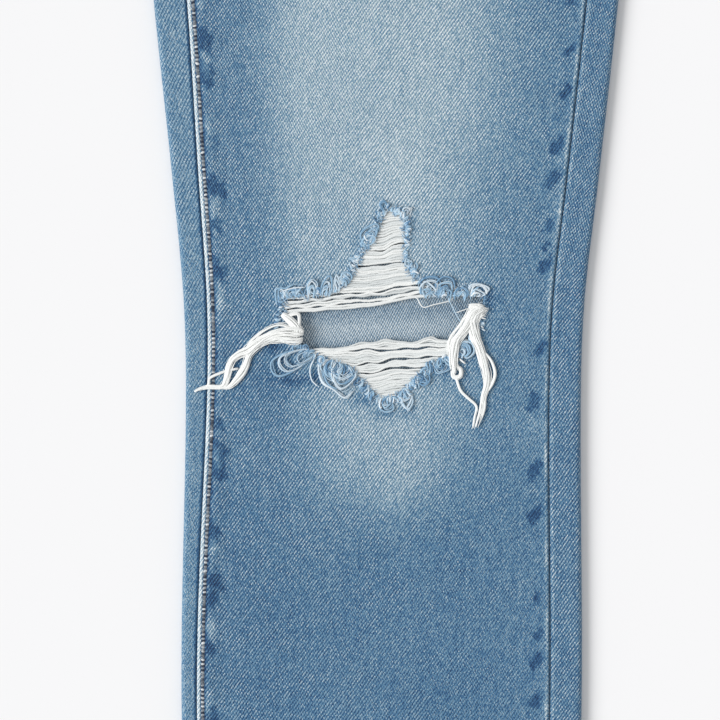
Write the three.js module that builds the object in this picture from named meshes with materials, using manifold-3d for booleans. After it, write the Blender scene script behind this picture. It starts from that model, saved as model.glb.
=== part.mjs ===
// A pair of ripped straight-leg jeans, laid flat on its back with the legs a little apart.
// Millimetres, +Z up. The waist points to +Y, the wearer's left leg, which has the knee rip, lies on +X.
// Each panel is a wall of cloth built from sections across the garment, from the hems up to the waist.
import * as THREE from "three";
import { mergeVertices } from "three/addons/utils/BufferGeometryUtils.js";
import Module from "manifold-3d";

const wasm = await Module();
wasm.setup();

// Cloth and seams
const CLOTH = 1.4;
const HEM_CLOTH = 2.2;
const SEAM_GAP = 0.3;
const PATCH = 1.1;
const BAND_CLOTH = 2.4;

// The leg, measured along its own axis from the middle of the knee rip
const SPREAD = THREE.MathUtils.degToRad(7);
const CROTCH_ABOVE_KNEE = 360;
const HEM_BELOW_KNEE = 420;
const HEM_DEPTH = 15;
const LEG_STEP = 48;
const LAST_LEG_SECTION = 348;
const CROTCH_INNER = -146;
const CROTCH_OUTER = 138;
const CROTCH_CORNER = 1.4;
const CROTCH_DROP = 1.6;

// Half outlines of the leg: height above the knee, then distance from the leg's axis
const INNER_EDGE = [[-HEM_BELOW_KNEE, -98], [-200, -105.5], [-40, -103.3], [13, -104.5], [75, -110.2],
  [169, -120.1], [290, -131.5], [335, -137.5], [CROTCH_ABOVE_KNEE, CROTCH_INNER]];
const OUTER_EDGE = [[-HEM_BELOW_KNEE, 97], [-200, 103], [-40, 102.6], [13, 104.6], [75, 111.8],
  [169, 122.2], [290, 134], [CROTCH_ABOVE_KNEE, CROTCH_OUTER]];
// How far each seam lies in from the folded edge, on the face
const INSEAM_IN = [[-HEM_BELOW_KNEE, 8], [-200, 8.8], [-120, 9.9], [-40, 12], [75, 14.6], [169, 18.2],
  [260, 17], [320, 12], [LAST_LEG_SECTION, 6]];
const SIDE_SEAM_IN = 16.6;
const SIDE_SEAM_IN_AT_WAIST = 7;

// The hips: the side outline as height above the crotch and half width
const WAIST_AT_SIDE = 246;
const WAIST_HALF = 206;
const SIDE = [[34.6, 282], [70, 278.5], [110, 268.5], [160, 248.5], [205, 227.5],
  [WAIST_AT_SIDE, WAIST_HALF]];
const FRONT_WAIST = 222;
const BACK_WAIST = 256;
const YOKE_AT_BACK = 183;
const YOKE_AT_SIDE = 212;
const HIP_LINES = [16, 45, 80, 115, 150];
const HIP_BLEND = 40;

// Heights above the surface that the garment lies on
const LEG_EDGE_TOP = 5.4;
const LEG_CROWN = 6.6;
const HEM_TOP = 6.4;
const HEM_SWELL = 0.2;
const HIP_EDGE_TOP = 6.8;
const HIP_CROWN = 7.1;
const FACE_RISE = 20;
const SEAT_LIFT = 1.5;
const SEAT_LIFT_FROM = 300;
const SEAT_LIFT_TO = 330;

// The waistband
const BAND_HEIGHT = 38;
const BAND_HALF_AT_TOP = 200;
const BAND_TOP_LIFT = 4.5;
const FLY_EDGE = -6;
const UNDERLAP_END = 28;
const OVERLAP_LIFT = 2.7;
const OVERLAP_FLAT_TO = 34;
const OVERLAP_RISE_FROM = 58;
const LAP_BEND = 14;

// Front pocket scoop, a quarter of an ellipse
const SCOOP_CENTRE = new THREE.Vector2(250, 250);
const SCOOP_HALF_WIDTH = 132;
const SCOOP_HALF_HEIGHT = 82;
const FACING_UNDER_FRONT = 14;
const FACING_TOP = 5.05;
const FACING_RISE = 1.5;

const { clamp, lerp, smoothstep, degToRad } = THREE.MathUtils;
const V2 = (x, y) => new THREE.Vector2(x, y);
const V3 = (x, y, z) => new THREE.Vector3(x, y, z);

// Smooth curve through a few [place, value] pairs
function along(pairs, at) {
  const last = pairs.length - 1;
  const t = clamp(at, pairs[0][0], pairs[last][0]);
  let k = 0;
  while (k < last - 1 && t > pairs[k + 1][0]) k += 1;
  const slope = (i) => {
    const a = pairs[Math.max(0, i - 1)];
    const b = pairs[Math.min(last, i + 1)];
    return (b[1] - a[1]) / (b[0] - a[0]);
  };
  const [[x0, y0], [x1, y1]] = [pairs[k], pairs[k + 1]];
  const h = x1 - x0;
  const s = (t - x0) / h;
  const rise = (1 + 2 * s) * (1 - s) ** 2 * y0 + s * s * (3 - 2 * s) * y1;
  return rise + s * (1 - s) ** 2 * h * slope(k) - s * s * (1 - s) * h * slope(k + 1);
}

// The leg's own axes, and the knee's place, with the crotch at the origin
const ACROSS = V2(Math.cos(SPREAD), Math.sin(SPREAD));
const UP = V2(-Math.sin(SPREAD), Math.cos(SPREAD));
const KNEE = V2(SEAM_GAP / 2, 0)
  .addScaledVector(ACROSS, -CROTCH_INNER)
  .addScaledVector(UP, -CROTCH_ABOVE_KNEE);
const onLeg = (u, v) => KNEE.clone().addScaledVector(ACROSS, u).addScaledVector(UP, v);

// One section line across half the garment, from the inner or centre side to the outer side
function station(inner, outer, given) {
  const width = inner.distanceTo(outer);
  const at = (w) => {
    const q = w / width;
    return V2(lerp(inner.x, outer.x, q), lerp(inner.y, outer.y, lerp(q, smoothstep(q, 0, 1), given.bow)));
  };
  return { width, at, ...given };
}

function legStation(v) {
  const hem = v < HEM_DEPTH - HEM_BELOW_KNEE;
  const seat = smoothstep(v, SEAT_LIFT_FROM, SEAT_LIFT_TO);
  return station(onLeg(along(INNER_EDGE, v), v), onLeg(along(OUTER_EDGE, v), v), {
    side: "leg",
    bow: 0,
    hip: 0,
    seamIn: along(INSEAM_IN, v),
    sideSeamIn: SIDE_SEAM_IN,
    floor: SEAT_LIFT * seat,
    edge: lerp(hem ? HEM_TOP : LEG_EDGE_TOP, HIP_EDGE_TOP, seat),
    crown: lerp(hem ? HEM_TOP + HEM_SWELL : LEG_CROWN, HIP_CROWN, seat),
    cloth: hem ? HEM_CLOTH : CLOTH,
  });
}

const crotchStation = () => ({ ...legStation(CROTCH_ABOVE_KNEE), side: "crotch", seamIn: 0 });

function hipStation(yIn, yOut, bow) {
  const rise = clamp(yIn / FRONT_WAIST, 0, 1);
  return station(V2(SEAM_GAP / 2, yIn), V2(along(SIDE, yOut), yOut), {
    side: "hip",
    bow,
    hip: smoothstep(yIn, 0, HIP_BLEND),
    seamIn: 0,
    sideSeamIn: lerp(SIDE_SEAM_IN, SIDE_SEAM_IN_AT_WAIST, rise),
    floor: SEAT_LIFT,
    edge: HIP_EDGE_TOP,
    crown: HIP_CROWN,
    cloth: CLOTH,
  });
}

// Sections shared by the front and back panels
const hemFold = HEM_DEPTH - HEM_BELOW_KNEE;
const legSections = [-HEM_BELOW_KNEE, hemFold - 1, hemFold + 1];
for (let v = LEG_STEP - HEM_BELOW_KNEE; v < SEAT_LIFT_FROM; v += LEG_STEP) legSections.push(v);
legSections.push(SEAT_LIFT_FROM + 8, SEAT_LIFT_TO, LAST_LEG_SECTION);
const legs = [...legSections.map(legStation), crotchStation()];
const sideRise = (y) => lerp(SIDE[0][0], YOKE_AT_SIDE - YOKE_AT_BACK, y / YOKE_AT_BACK);
const hips = HIP_LINES.map((y) => hipStation(y, y + sideRise(y), 0));
const frontTop = [[YOKE_AT_BACK, YOKE_AT_SIDE - 1, 0.3], [205, 231, 0.7],
  [FRONT_WAIST, WAIST_AT_SIDE, 1]].map((s) => hipStation(...s));
const yokeLines = [[YOKE_AT_BACK + SEAM_GAP, YOKE_AT_SIDE + SEAM_GAP, 0], [209, 224, 0.4],
  [234, 235, 0.7], [BACK_WAIST, WAIST_AT_SIDE, 1]].map((s) => hipStation(...s));
const seatTop = hipStation(YOKE_AT_BACK, YOKE_AT_SIDE, 0);

// Height of the front's face at a share of the way across a section
function faceHeight(s, w) {
  const q = w / s.width;
  const swell = lerp(1 - (2 * q - 1) ** 2, 1 - q * q, s.hip);
  return s.edge + (s.crown - s.edge) * swell;
}

// Height of the front's face over the hips, for what lies on it
const hipFace = (x, y) => {
  const q = Math.abs(x) / along(SIDE, y + FACE_RISE);
  return HIP_EDGE_TOP + (HIP_CROWN - HIP_EDGE_TOP) * (1 - q * q);
};

// Height of the front's face on the leg, for what lies on it
const legFace = (u, v) => {
  const left = along(INNER_EDGE, v);
  const q = (u - left) / (along(OUTER_EDGE, v) - left);
  return LEG_EDGE_TOP + (LEG_CROWN - LEG_EDGE_TOP) * (1 - (2 * q - 1) ** 2);
};

// Turns the faces of a closed mesh outwards
function facingOut(geometry) {
  const { array } = geometry.attributes.position;
  const index = geometry.index.array;
  const corner = (i) => V3().fromArray(array, 3 * index[i]);
  let volume = 0;
  for (let i = 0; i < index.length; i += 3) {
    volume += corner(i).dot(corner(i + 1).cross(corner(i + 2)));
  }
  for (let i = 0; volume < 0 && i < index.length; i += 3) {
    [index[i + 1], index[i + 2]] = [index[i + 2], index[i + 1]];
  }
  return geometry;
}

// A closed wall between two grids of points that match row by row
function wall(outer, inner) {
  const rows = outer.length;
  const cols = outer[0].length;
  const index = [];
  const quad = (a, b, c, d) => index.push(a, b, c, a, c, d);
  const o = (i, j) => i * cols + j;
  const n = (i, j) => (rows + i) * cols + j;
  for (let i = 0; i < rows - 1; i += 1) {
    for (let j = 0; j < cols - 1; j += 1) {
      quad(o(i, j), o(i, j + 1), o(i + 1, j + 1), o(i + 1, j));
      quad(n(i, j), n(i + 1, j), n(i + 1, j + 1), n(i, j + 1));
    }
    quad(o(i, 0), o(i + 1, 0), n(i + 1, 0), n(i, 0));
    quad(o(i, cols - 1), n(i, cols - 1), n(i + 1, cols - 1), o(i + 1, cols - 1));
  }
  for (let j = 0; j < cols - 1; j += 1) {
    quad(o(0, j), n(0, j), n(0, j + 1), o(0, j + 1));
    quad(o(rows - 1, j), o(rows - 1, j + 1), n(rows - 1, j + 1), n(rows - 1, j));
  }
  const geometry = new THREE.BufferGeometry();
  const points = [...outer.flat(), ...inner.flat()].flatMap((p) => p.toArray());
  geometry.setAttribute("position", new THREE.Float32BufferAttribute(points, 3));
  geometry.setIndex(index);
  return facingOut(geometry);
}

// Joining and cutting closed meshes
function merged(geometry) {
  const bare = geometry.clone();
  bare.deleteAttribute("normal");
  bare.deleteAttribute("uv");
  return facingOut(mergeVertices(bare, 1e-3));
}

function solid(geometry) {
  const closed = merged(geometry);
  const mesh = new wasm.Mesh({
    numProp: 3,
    vertProperties: closed.attributes.position.array,
    triVerts: new Uint32Array(closed.index.array),
  });
  return new wasm.Manifold(mesh);
}

function geometryOf(made) {
  const mesh = made.getMesh();
  const geometry = new THREE.BufferGeometry();
  geometry.setAttribute("position", new THREE.BufferAttribute(mesh.vertProperties, 3));
  geometry.setIndex(new THREE.BufferAttribute(mesh.triVerts, 1));
  return geometry;
}

const mirrored = (geometry) => merged(geometry.clone().scale(-1, 1, 1));

// A tall prism over an outline, for cutting
const PRISM_FROM = -5;
const PRISM_HEIGHT = 30;
const prism = (outline) => solid(
  new THREE.ExtrudeGeometry(new THREE.Shape(outline), { depth: PRISM_HEIGHT, bevelEnabled: false })
    .translate(0, 0, PRISM_FROM),
);

// A patch of cloth inside an outline, whose upper face follows a height
const grid = (rows, columns, point) => Array.from({ length: rows }, (_, i) => (
  Array.from({ length: columns }, (__, j) => point(i, j))));
function patch(outline, height, thickness, step) {
  const box = new THREE.Box2().setFromPoints(outline).expandByScalar(1);
  const size = box.getSize(V2(0, 0));
  const rows = Math.ceil(size.y / step) + 1;
  const columns = Math.ceil(size.x / step) + 1;
  const face = (drop) => grid(rows, columns, (i, j) => {
    const x = lerp(box.min.x, box.max.x, j / (columns - 1));
    const y = lerp(box.min.y, box.max.y, i / (rows - 1));
    return V3(x, y, height(x, y) - drop);
  });
  return geometryOf(solid(wall(face(0), face(thickness))).intersect(prism(outline)));
}

// Front panels
const FRONT_COLUMNS = 9;
function frontPanel() {
  const lines = [...legs, ...hips, ...frontTop];
  const face = (drop) => grid(lines.length, FRONT_COLUMNS, (i, j) => {
    const s = lines[i];
    const from = { leg: s.seamIn + SEAM_GAP, crotch: CROTCH_CORNER, hip: 0 }[s.side];
    const w = lerp(from, s.width - s.sideSeamIn - SEAM_GAP, j / (FRONT_COLUMNS - 1));
    const p = s.at(w);
    return V3(p.x, p.y, faceHeight(s, w) - drop * s.cloth);
  });
  return wall(face(0), face(1));
}

// Scoop outline; grow moves the arc outwards from the pocket's corner
function scoopArc(grow, steps = 14) {
  const a = SCOOP_HALF_WIDTH + grow;
  const b = SCOOP_HALF_HEIGHT + grow;
  return Array.from({ length: steps + 1 }, (_, i) => {
    const turn = degToRad(lerp(180, 270, i / steps));
    return V2(SCOOP_CENTRE.x + a * Math.cos(turn), SCOOP_CENTRE.y + b * Math.sin(turn));
  });
}
const BEYOND = 320;
const scoopCut = prism([...scoopArc(0), V2(BEYOND, SCOOP_CENTRE.y - SCOOP_HALF_HEIGHT), V2(BEYOND, BEYOND),
  V2(SCOOP_CENTRE.x - SCOOP_HALF_WIDTH, BEYOND)]);

// The rip, as places on the leg measured from its middle: where the blue warp has worn away
const RIP = [[0, 58], [6.5, 60.5], [13.5, 57], [12.5, 45], [12, 33.5], [15.5, 25.5], [21, 22], [32, 22],
  [43, 18.5], [51, 16], [51, 8], [48.5, -0.5], [45, -8.5], [39, -15.5], [32.5, -18], [25, -20.5],
  [19.5, -26], [12.5, -32.5], [6, -38], [-1, -39], [-8, -34], [-14, -27.5], [-19.5, -22], [-36.5, -16],
  [-43.5, -11], [-49, -4.5], [-51.5, 3.5], [-52.5, 14.5], [-47, 15.5], [-34, 16.5], [-19, 22], [-14, 28],
  [-11, 34.5], [-10, 39.5], [-6, 42.5], [-2, 51.5]];
// The open gap in the middle, where the white weft has broken too
const GAP = [[-43, 3], [-19.5, 6.5], [-2, 8.5], [16.5, 11], [21, 9.5], [34, 11], [39, 7], [41, -0.5],
  [37, -6.5], [32, -9], [23, -6.5], [15.5, -8], [0.5, -7.5], [-9.5, -9.5], [-19.5, -12.5], [-36, -13],
  [-40, -10], [-42.5, -3.5]];
const flat = (points) => points.map(([u, v]) => V2(u, v));
const onLegAxes = (geometry) => geometry.rotateZ(SPREAD).translate(KNEE.x, KNEE.y, 0);

const scoopedFront = solid(frontPanel()).subtract(scoopCut);
const rippedFront = scoopedFront.subtract(prism(RIP.map(([u, v]) => onLeg(u, v))));

// White weft threads across the worn places: a sheet ribbed along its length
const WEFT_RIB = 1.35;
const WEFT_DEPTH = 0.45;
const WEFT_DOWN = 0.2;
const WEFT_CLOTH = 1;
const WEFT_HALF = 60;
const RIP_SHRINK = 0.988;
const gap = prism(flat(GAP));
const rip = prism(flat(RIP.map(([u, v]) => [u * RIP_SHRINK, v * RIP_SHRINK])));
function weft(low, high) {
  const rows = Math.round((high - low) / WEFT_RIB) + 1;
  const face = (under) => grid(rows, 5, (i, j) => {
    const u = lerp(-WEFT_HALF, WEFT_HALF, j / 4);
    const v = low + i * WEFT_RIB;
    const groove = under || i % 2 ? WEFT_DEPTH : 0;
    return V3(u, v, legFace(u, v) - WEFT_DOWN - groove - (under ? WEFT_CLOTH : 0));
  });
  const pieces = solid(wall(face(false), face(true))).intersect(rip).subtract(gap).decompose();
  pieces.sort((a, b) => b.volume() - a.volume());
  return onLegAxes(geometryOf(pieces[0]));
}

// Back panels: down the face to the fold, round it, under the garment, and up the other fold
const FOLD_STEPS = 4;
const UNDER_COLUMNS = 4;
const FLAT_START = 10;
const UNDER_START = 3;
function foldPoints(s, seamIn) {
  const radius = (s.edge - s.floor) / 2;
  const points = [[seamIn, s.edge, seamIn, s.edge - s.cloth]];
  for (let k = 0; k <= FOLD_STEPS; k += 1) {
    const turn = degToRad(lerp(90, 270, k / FOLD_STEPS));
    const hollow = radius - s.cloth;
    const z = s.floor + radius;
    points.push([radius * (1 + Math.cos(turn)), z + radius * Math.sin(turn),
      radius + hollow * Math.cos(turn), z + hollow * Math.sin(turn)]);
  }
  return points;
}
function innerPoints(s) {
  if (s.side === "leg") return foldPoints(s, s.seamIn);
  const count = FOLD_STEPS + 1;
  const top = s.edge - s.cloth - CROTCH_DROP;
  return Array.from({ length: count + 1 }, (_, k) => {
    const share = k / count;
    if (s.side === "hip") return [share * FLAT_START, s.floor, share * FLAT_START, s.floor + s.cloth];
    return [0, lerp(top, s.floor, share), s.cloth, lerp(top, s.floor + s.cloth, share)];
  });
}
function backSection(s) {
  const inner = innerPoints(s);
  const outer = foldPoints(s, s.sideSeamIn).reverse();
  const across = outer.map(([w, z, wi, zi]) => [s.width - w, z, s.width - wi, zi]);
  const from = Math.max(inner[inner.length - 1][0], UNDER_START);
  const under = Array.from({ length: UNDER_COLUMNS - 1 }, (_, k) => {
    const w = lerp(from, across[0][0], (k + 1) / UNDER_COLUMNS);
    return [w, s.floor, w, s.floor + s.cloth];
  });
  return [...inner, ...under, ...across];
}
function backLoft(lines) {
  const sections = lines.map((s) => backSection(s).map(([w, z, wi, zi]) => {
    const [a, b] = [s.at(w), s.at(wi)];
    return [V3(a.x, a.y, z), V3(b.x, b.y, zi)];
  }));
  return wall(sections.map((row) => row.map((p) => p[0])), sections.map((row) => row.map((p) => p[1])));
}

// The waistband is one strip: from its end under the fly, round the wearer's right side and the back,
// then round the left side to the end that laps over
const BAND_FRONT = [10, -10, -40, -75, -110, -145, -175];
const BAND_LAP = [175, 145, 110, 80, OVERLAP_RISE_FROM];
const BAND_BACK_STEPS = 10;
const FOLD_EASE = 0.4;
function waistSeam(x, front) {
  const centre = front ? FRONT_WAIST : BACK_WAIST;
  return lerp(centre, WAIST_AT_SIDE, smoothstep(Math.abs(x) / WAIST_HALF, 0, 1));
}
const bandHigh = BAND_TOP_LIFT + BAND_CLOTH;
function bandPath() {
  const radius = (bandHigh - SEAT_LIFT) / 2;
  const hollow = radius - BAND_CLOTH + FOLD_EASE;
  const middle = SEAT_LIFT + radius;
  const fold = WAIST_HALF - radius;
  const front = (x, lift = 0) => ({
    x, z: bandHigh + lift, xi: x, zi: bandHigh + lift - BAND_CLOTH, y: waistSeam(x, true),
  });
  const back = (x) => ({ x, z: SEAT_LIFT, xi: x, zi: SEAT_LIFT + BAND_CLOTH, y: waistSeam(x, false) });
  const side = (sign, k) => {
    const turn = degToRad(lerp(90, -90, k / FOLD_STEPS));
    const [c, s] = [Math.cos(turn), Math.sin(turn)];
    return {
      x: sign * (fold + radius * c),
      z: middle + radius * s,
      xi: sign * (fold + hollow * c),
      zi: middle + hollow * s,
      y: WAIST_AT_SIDE,
    };
  };
  const path = [UNDERLAP_END, ...BAND_FRONT, -fold].map((x) => front(x));
  for (let k = 1; k < FOLD_STEPS; k += 1) path.push(side(-1, k));
  for (let k = 0; k <= BAND_BACK_STEPS; k += 1) path.push(back(lerp(-fold, fold, k / BAND_BACK_STEPS)));
  for (let k = FOLD_STEPS - 1; k > 0; k -= 1) path.push(side(1, k));
  path.push(...[fold, ...BAND_LAP].map((x) => front(x)));
  path.push(...[OVERLAP_FLAT_TO, LAP_BEND, FLY_EDGE].map((x) => front(x, OVERLAP_LIFT)));
  return path;
}
function waistband() {
  const path = bandPath();
  const narrow = BAND_HALF_AT_TOP / WAIST_HALF;
  const face = (inside) => grid(3, path.length, (i, j) => {
    const p = path[j];
    const x = (inside ? p.xi : p.x) * lerp(1, narrow, i / 2);
    return V3(x, p.y + SEAM_GAP + BAND_HEIGHT * i / 2, inside ? p.zi : p.z);
  });
  return wall(face(false), face(true));
}

// Fly: its edge laps over the wearer's right front, and its lower end is rounded
const FLY_WIDTH = 44;
const FLY_BOTTOM = 62;
const FLY_TOE = 9;
const FLY_CURVE = 46;
const FLY_STEP = 25;
function fly() {
  const right = FLY_EDGE + FLY_WIDTH;
  const shape = new THREE.Shape();
  const lineTo = (x, y) => shape.lineTo(x, y);
  shape.moveTo(FLY_EDGE, waistSeam(FLY_EDGE, true) - SEAM_GAP);
  lineTo(FLY_EDGE, FLY_BOTTOM);
  lineTo(FLY_EDGE + FLY_TOE, FLY_BOTTOM);
  shape.quadraticCurveTo(right, FLY_BOTTOM + FLY_TOE, right, FLY_BOTTOM + FLY_CURVE);
  [right, OVERLAP_FLAT_TO, LAP_BEND].forEach((x) => lineTo(x, waistSeam(x, true) - SEAM_GAP));
  return patch(shape.getPoints(8), (x, y) => hipFace(x, y) + SEAM_GAP + PATCH, PATCH, FLY_STEP);
}

// Pocket facing, seen in the scoop, and the coin pocket on it
const FACING_CLEAR = 1.2;
const FACING_STEP = 11;
const FACING_SIDE = [180, 200, 220, 238];
const FACING_WAIST = [190, 170, 150, 130, 106];
const SIDE_SEAM_START = 28;
const facingHeight = (x, y) => {
  const across = (x - SCOOP_CENTRE.x) / SCOOP_HALF_WIDTH;
  const up = (y - SCOOP_CENTRE.y) / SCOOP_HALF_HEIGHT;
  return FACING_TOP + FACING_RISE * smoothstep(0.9 - Math.hypot(across, up), 0, 0.35);
};
const sideSeamX = (y) => {
  const rise = (y - SIDE_SEAM_START) / (WAIST_AT_SIDE - SIDE_SEAM_START);
  return along(SIDE, y) - lerp(SIDE_SEAM_IN, SIDE_SEAM_IN_AT_WAIST, clamp(rise, 0, 1));
};
function facing() {
  const inside = (p) => p.x < sideSeamX(p.y) - FACING_CLEAR && p.y < waistSeam(p.x, true) - 1;
  const arc = scoopArc(FACING_UNDER_FRONT).filter(inside);
  const side = [arc[arc.length - 1].y, ...FACING_SIDE].map((y) => V2(sideSeamX(y) - FACING_CLEAR, y));
  const waist = FACING_WAIST.map((x) => V2(x, waistSeam(x, true) - SEAM_GAP));
  return patch([...arc, ...side, ...waist], facingHeight, PATCH, FACING_STEP);
}
const COIN = { left: 138, right: 196, top: 214, gap: 0.5, step: 9 };
const coinHeight = (x, y) => facingHeight(x, y) + SEAM_GAP + PATCH;
function coinPocket() {
  const arc = scoopArc(-COIN.gap, 30).filter((p) => p.x > COIN.left && p.x < COIN.right);
  return patch([V2(COIN.left, COIN.top), ...arc, V2(COIN.right, COIN.top)], coinHeight, PATCH, COIN.step);
}

// Back pockets lie under the seat, so the garment rests on them
const POCKET = { x: 128, top: 170, halfTop: 71, halfLow: 63, side: 128, tip: 150, turn: degToRad(5) };
function backPocket() {
  const { halfTop, halfLow, side, tip } = POCKET;
  const outline = [[-halfTop, 0], [-halfLow, -side], [0, -tip], [halfLow, -side], [halfTop, 0]];
  const shape = new THREE.Shape(flat(outline));
  return new THREE.ExtrudeGeometry(shape, { depth: PATCH, bevelEnabled: false })
    .rotateZ(POCKET.turn).translate(POCKET.x, POCKET.top, 0);
}

// Belt loops
const LOOP_WIDTH = 12;
const LOOP_LENGTH = 50;
const LOOP_CLOTH = 1.5;
const LOOP_CORNER = 1.5;
const LOOP_BELOW_BAND = 10;
const LOOP_LEAN = degToRad(1.5);
function beltLoop(x, front) {
  const [w, l, c] = [LOOP_WIDTH / 2, LOOP_LENGTH / 2, LOOP_CORNER];
  const shape = new THREE.Shape(flat([[c - w, -l], [w - c, -l], [w, c - l], [w, l - c],
    [w - c, l], [c - w, l], [-w, l - c], [-w, c - l]]));
  const depth = front ? LOOP_CLOTH : SEAT_LIFT - SEAM_GAP;
  return new THREE.ExtrudeGeometry(shape, { depth, bevelEnabled: false })
    .rotateZ(-Math.sign(x) * LOOP_LEAN)
    .translate(x, waistSeam(x, front) - LOOP_BELOW_BAND + l, front ? HIP_CROWN + SEAM_GAP : 0);
}

// Turned metal pieces: a flat rim with a raised middle
const TURN_SIDES = 14;
const BUTTON = { radius: 8.5, height: 2.6, middle: 0.62, x: 8 };
const RIVET = { radius: 4.3, height: 1.2, middle: 0.5 };
function turned({ radius, height, middle }) {
  const profile = [[0, 0], [radius * 0.9, 0], [radius, height * 0.5], [radius * middle, height * 0.8],
    [radius * middle * 0.6, height], [0, height]];
  return new THREE.LatheGeometry(flat(profile), TURN_SIDES).rotateX(Math.PI / 2);
}
const buttonHeight = bandHigh + OVERLAP_LIFT + SEAM_GAP;
const button = () => turned(BUTTON)
  .translate(BUTTON.x, waistSeam(BUTTON.x, true) + BAND_HEIGHT / 2, buttonHeight);
const rivet = (x, y, z) => turned(RIVET).translate(x, y, z + SEAM_GAP);

// Loose threads: four-sided strands that lie on the cloth, fused where they start
const THREAD = 0.8;
const ROOT_DEPTH = 1.8;
const SECTION = flat([[-1, -1], [1, -1], [1, 1], [-1, 1]]);
const threadLevel = LEG_CROWN + SEAM_GAP;
function strand(points, radius = THREAD) {
  const route = points.map(([u, v]) => V3(u, v, threadLevel + radius));
  return solid(new THREE.ExtrudeGeometry(
    new THREE.Shape(SECTION.map((p) => p.clone().multiplyScalar(radius))),
    { steps: 2 * points.length, extrudePath: new THREE.CatmullRomCurve3(route), bevelEnabled: false },
  ));
}
function root(u, v, halfLength, halfWidth, lean = 0) {
  const outline = SECTION.map((p) => V2(p.x * halfLength, p.y * halfWidth));
  return solid(new THREE.ExtrudeGeometry(new THREE.Shape(outline), { depth: ROOT_DEPTH, bevelEnabled: false })
    .rotateZ(degToRad(lean)).translate(u, v, threadLevel));
}
const tuft = (base, strands) => onLegAxes(geometryOf(strands.reduce((made, s) => made.add(s), base)));

const leftTuft = () => tuft(root(-46, -2, 4.5, 3.2), [
  strand([[-44, -1], [-57, -4], [-65, -9], [-69.5, -15.5], [-72, -21.5], [-77, -27], [-84.5, -30.5],
    [-93, -33]]),
  strand([[-44, -2.5], [-59.5, -6.8], [-68, -12.5], [-74, -17], [-76.5, -22.5], [-79, -28.5]]),
  strand([[-44, -4], [-56, -6.5], [-63, -13], [-67, -20], [-73, -26.5], [-80, -29.2]]),
]);
const rightTuft = () => tuft(root(47, 3, 3, 4.5), [
  strand([[47, 5], [44, -2.5], [39, -7.5], [35.5, -13.5], [34.5, -20.5], [37, -26.5]]),
  strand([[47.5, 4.5], [46.5, -5], [48, -13.5], [50.5, -22.5], [51.5, -30], [50, -36.5], [47.5, -43.5],
    [45.5, -51]]),
  strand([[48, 2], [48, -8], [53, -18], [55, -26.5], [52, -33.5], [49.5, -38.5]]),
  strand([[45.5, 3], [41.5, -6], [37.5, -15], [36.5, -24], [39, -33], [43, -37], [46.5, -41]], THREAD * 0.6),
]);

// Blue warp ends that curl out of the rip's edge: each is a loop from a narrow strip along that edge
const LOOP = [[0, 0], [0.35, 0.5], [0.75, 0.42], [1, 0], [0.75, -0.42], [0.35, -0.5], [0.06, -0.12]];
const curl = (u, v, length, width, turn) => {
  const [c, s] = [Math.cos(degToRad(turn)), Math.sin(degToRad(turn))];
  const place = ([a, b]) => [u + length * a * c - width * b * s, v + length * a * s + width * b * c];
  return strand(LOOP.map(place));
};
const WARP_CURLS = {
  low_left: [root(-37, -19, 13, 1.6, -16), [
    curl(-46, -16, 12, 8, 205), curl(-39, -18.5, 13, 8, 250), curl(-31, -20.5, 14, 9, 285),
    curl(-27, -21, 10, 7, 320)]],
  low_right: [root(21, -26.5, 9, 1.6, 42), [
    curl(16, -31, 7, 6, 285), curl(21.5, -26.5, 8, 6, 300), curl(26, -22.5, 6, 5, 300)]],
  high_left: [root(-36, 19.5, 13, 1.6, 6), [
    curl(-46, 18.5, 8, 6, 150), curl(-38, 19.5, 7, 7, 95), curl(-29, 20.5, 8, 6, 60)]],
  high_right: [root(34, 22, 14, 1.6, -14), [
    curl(24, 24.5, 8, 7, 100), curl(33, 22.5, 7, 8, 80), curl(43, 20, 8, 6, 60)]],
};

// Materials, with the colours of the washed cloth
const finish = (color, roughness, metalness = 0) => (
  new THREE.MeshStandardMaterial({ color, roughness, metalness }));
const DENIM = finish(0x6a8fae, 0.92);
const WHITE_THREAD = finish(0xdfe2e0, 0.9);
const BLUE_THREAD = finish(0x7fa3c4, 0.92);
const METAL = finish(0x9c7a5a, 0.4, 0.9);

const garment = new THREE.Group();
function piece(name, geometry, material) {
  const mesh = new THREE.Mesh(geometry, material);
  mesh.name = name;
  garment.add(mesh);
}
const pair = (name, geometry, material) => {
  piece(`${name}_left`, geometry, material);
  piece(`${name}_right`, mirrored(geometry), material);
};

piece("front_left", geometryOf(rippedFront), DENIM);
piece("front_right", mirrored(geometryOf(scoopedFront)), DENIM);
pair("back", backLoft([...legs, ...hips, seatTop]), DENIM);
pair("yoke", backLoft(yokeLines), DENIM);
piece("waistband", waistband(), DENIM);
piece("fly", fly(), DENIM);
pair("pocket_facing", facing(), DENIM);
piece("coin_pocket", mirrored(coinPocket()), DENIM);
pair("back_pocket", backPocket(), DENIM);

const FRONT_LOOP = 98;
const BACK_LOOP = 150;
piece("belt_loop_front_left", beltLoop(FRONT_LOOP, true), DENIM);
piece("belt_loop_front_right", beltLoop(-FRONT_LOOP, true), DENIM);
piece("belt_loop_back_left", beltLoop(BACK_LOOP, false), DENIM);
piece("belt_loop_back_right", beltLoop(-BACK_LOOP, false), DENIM);
piece("belt_loop_back_middle", beltLoop(0, false), DENIM);

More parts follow.
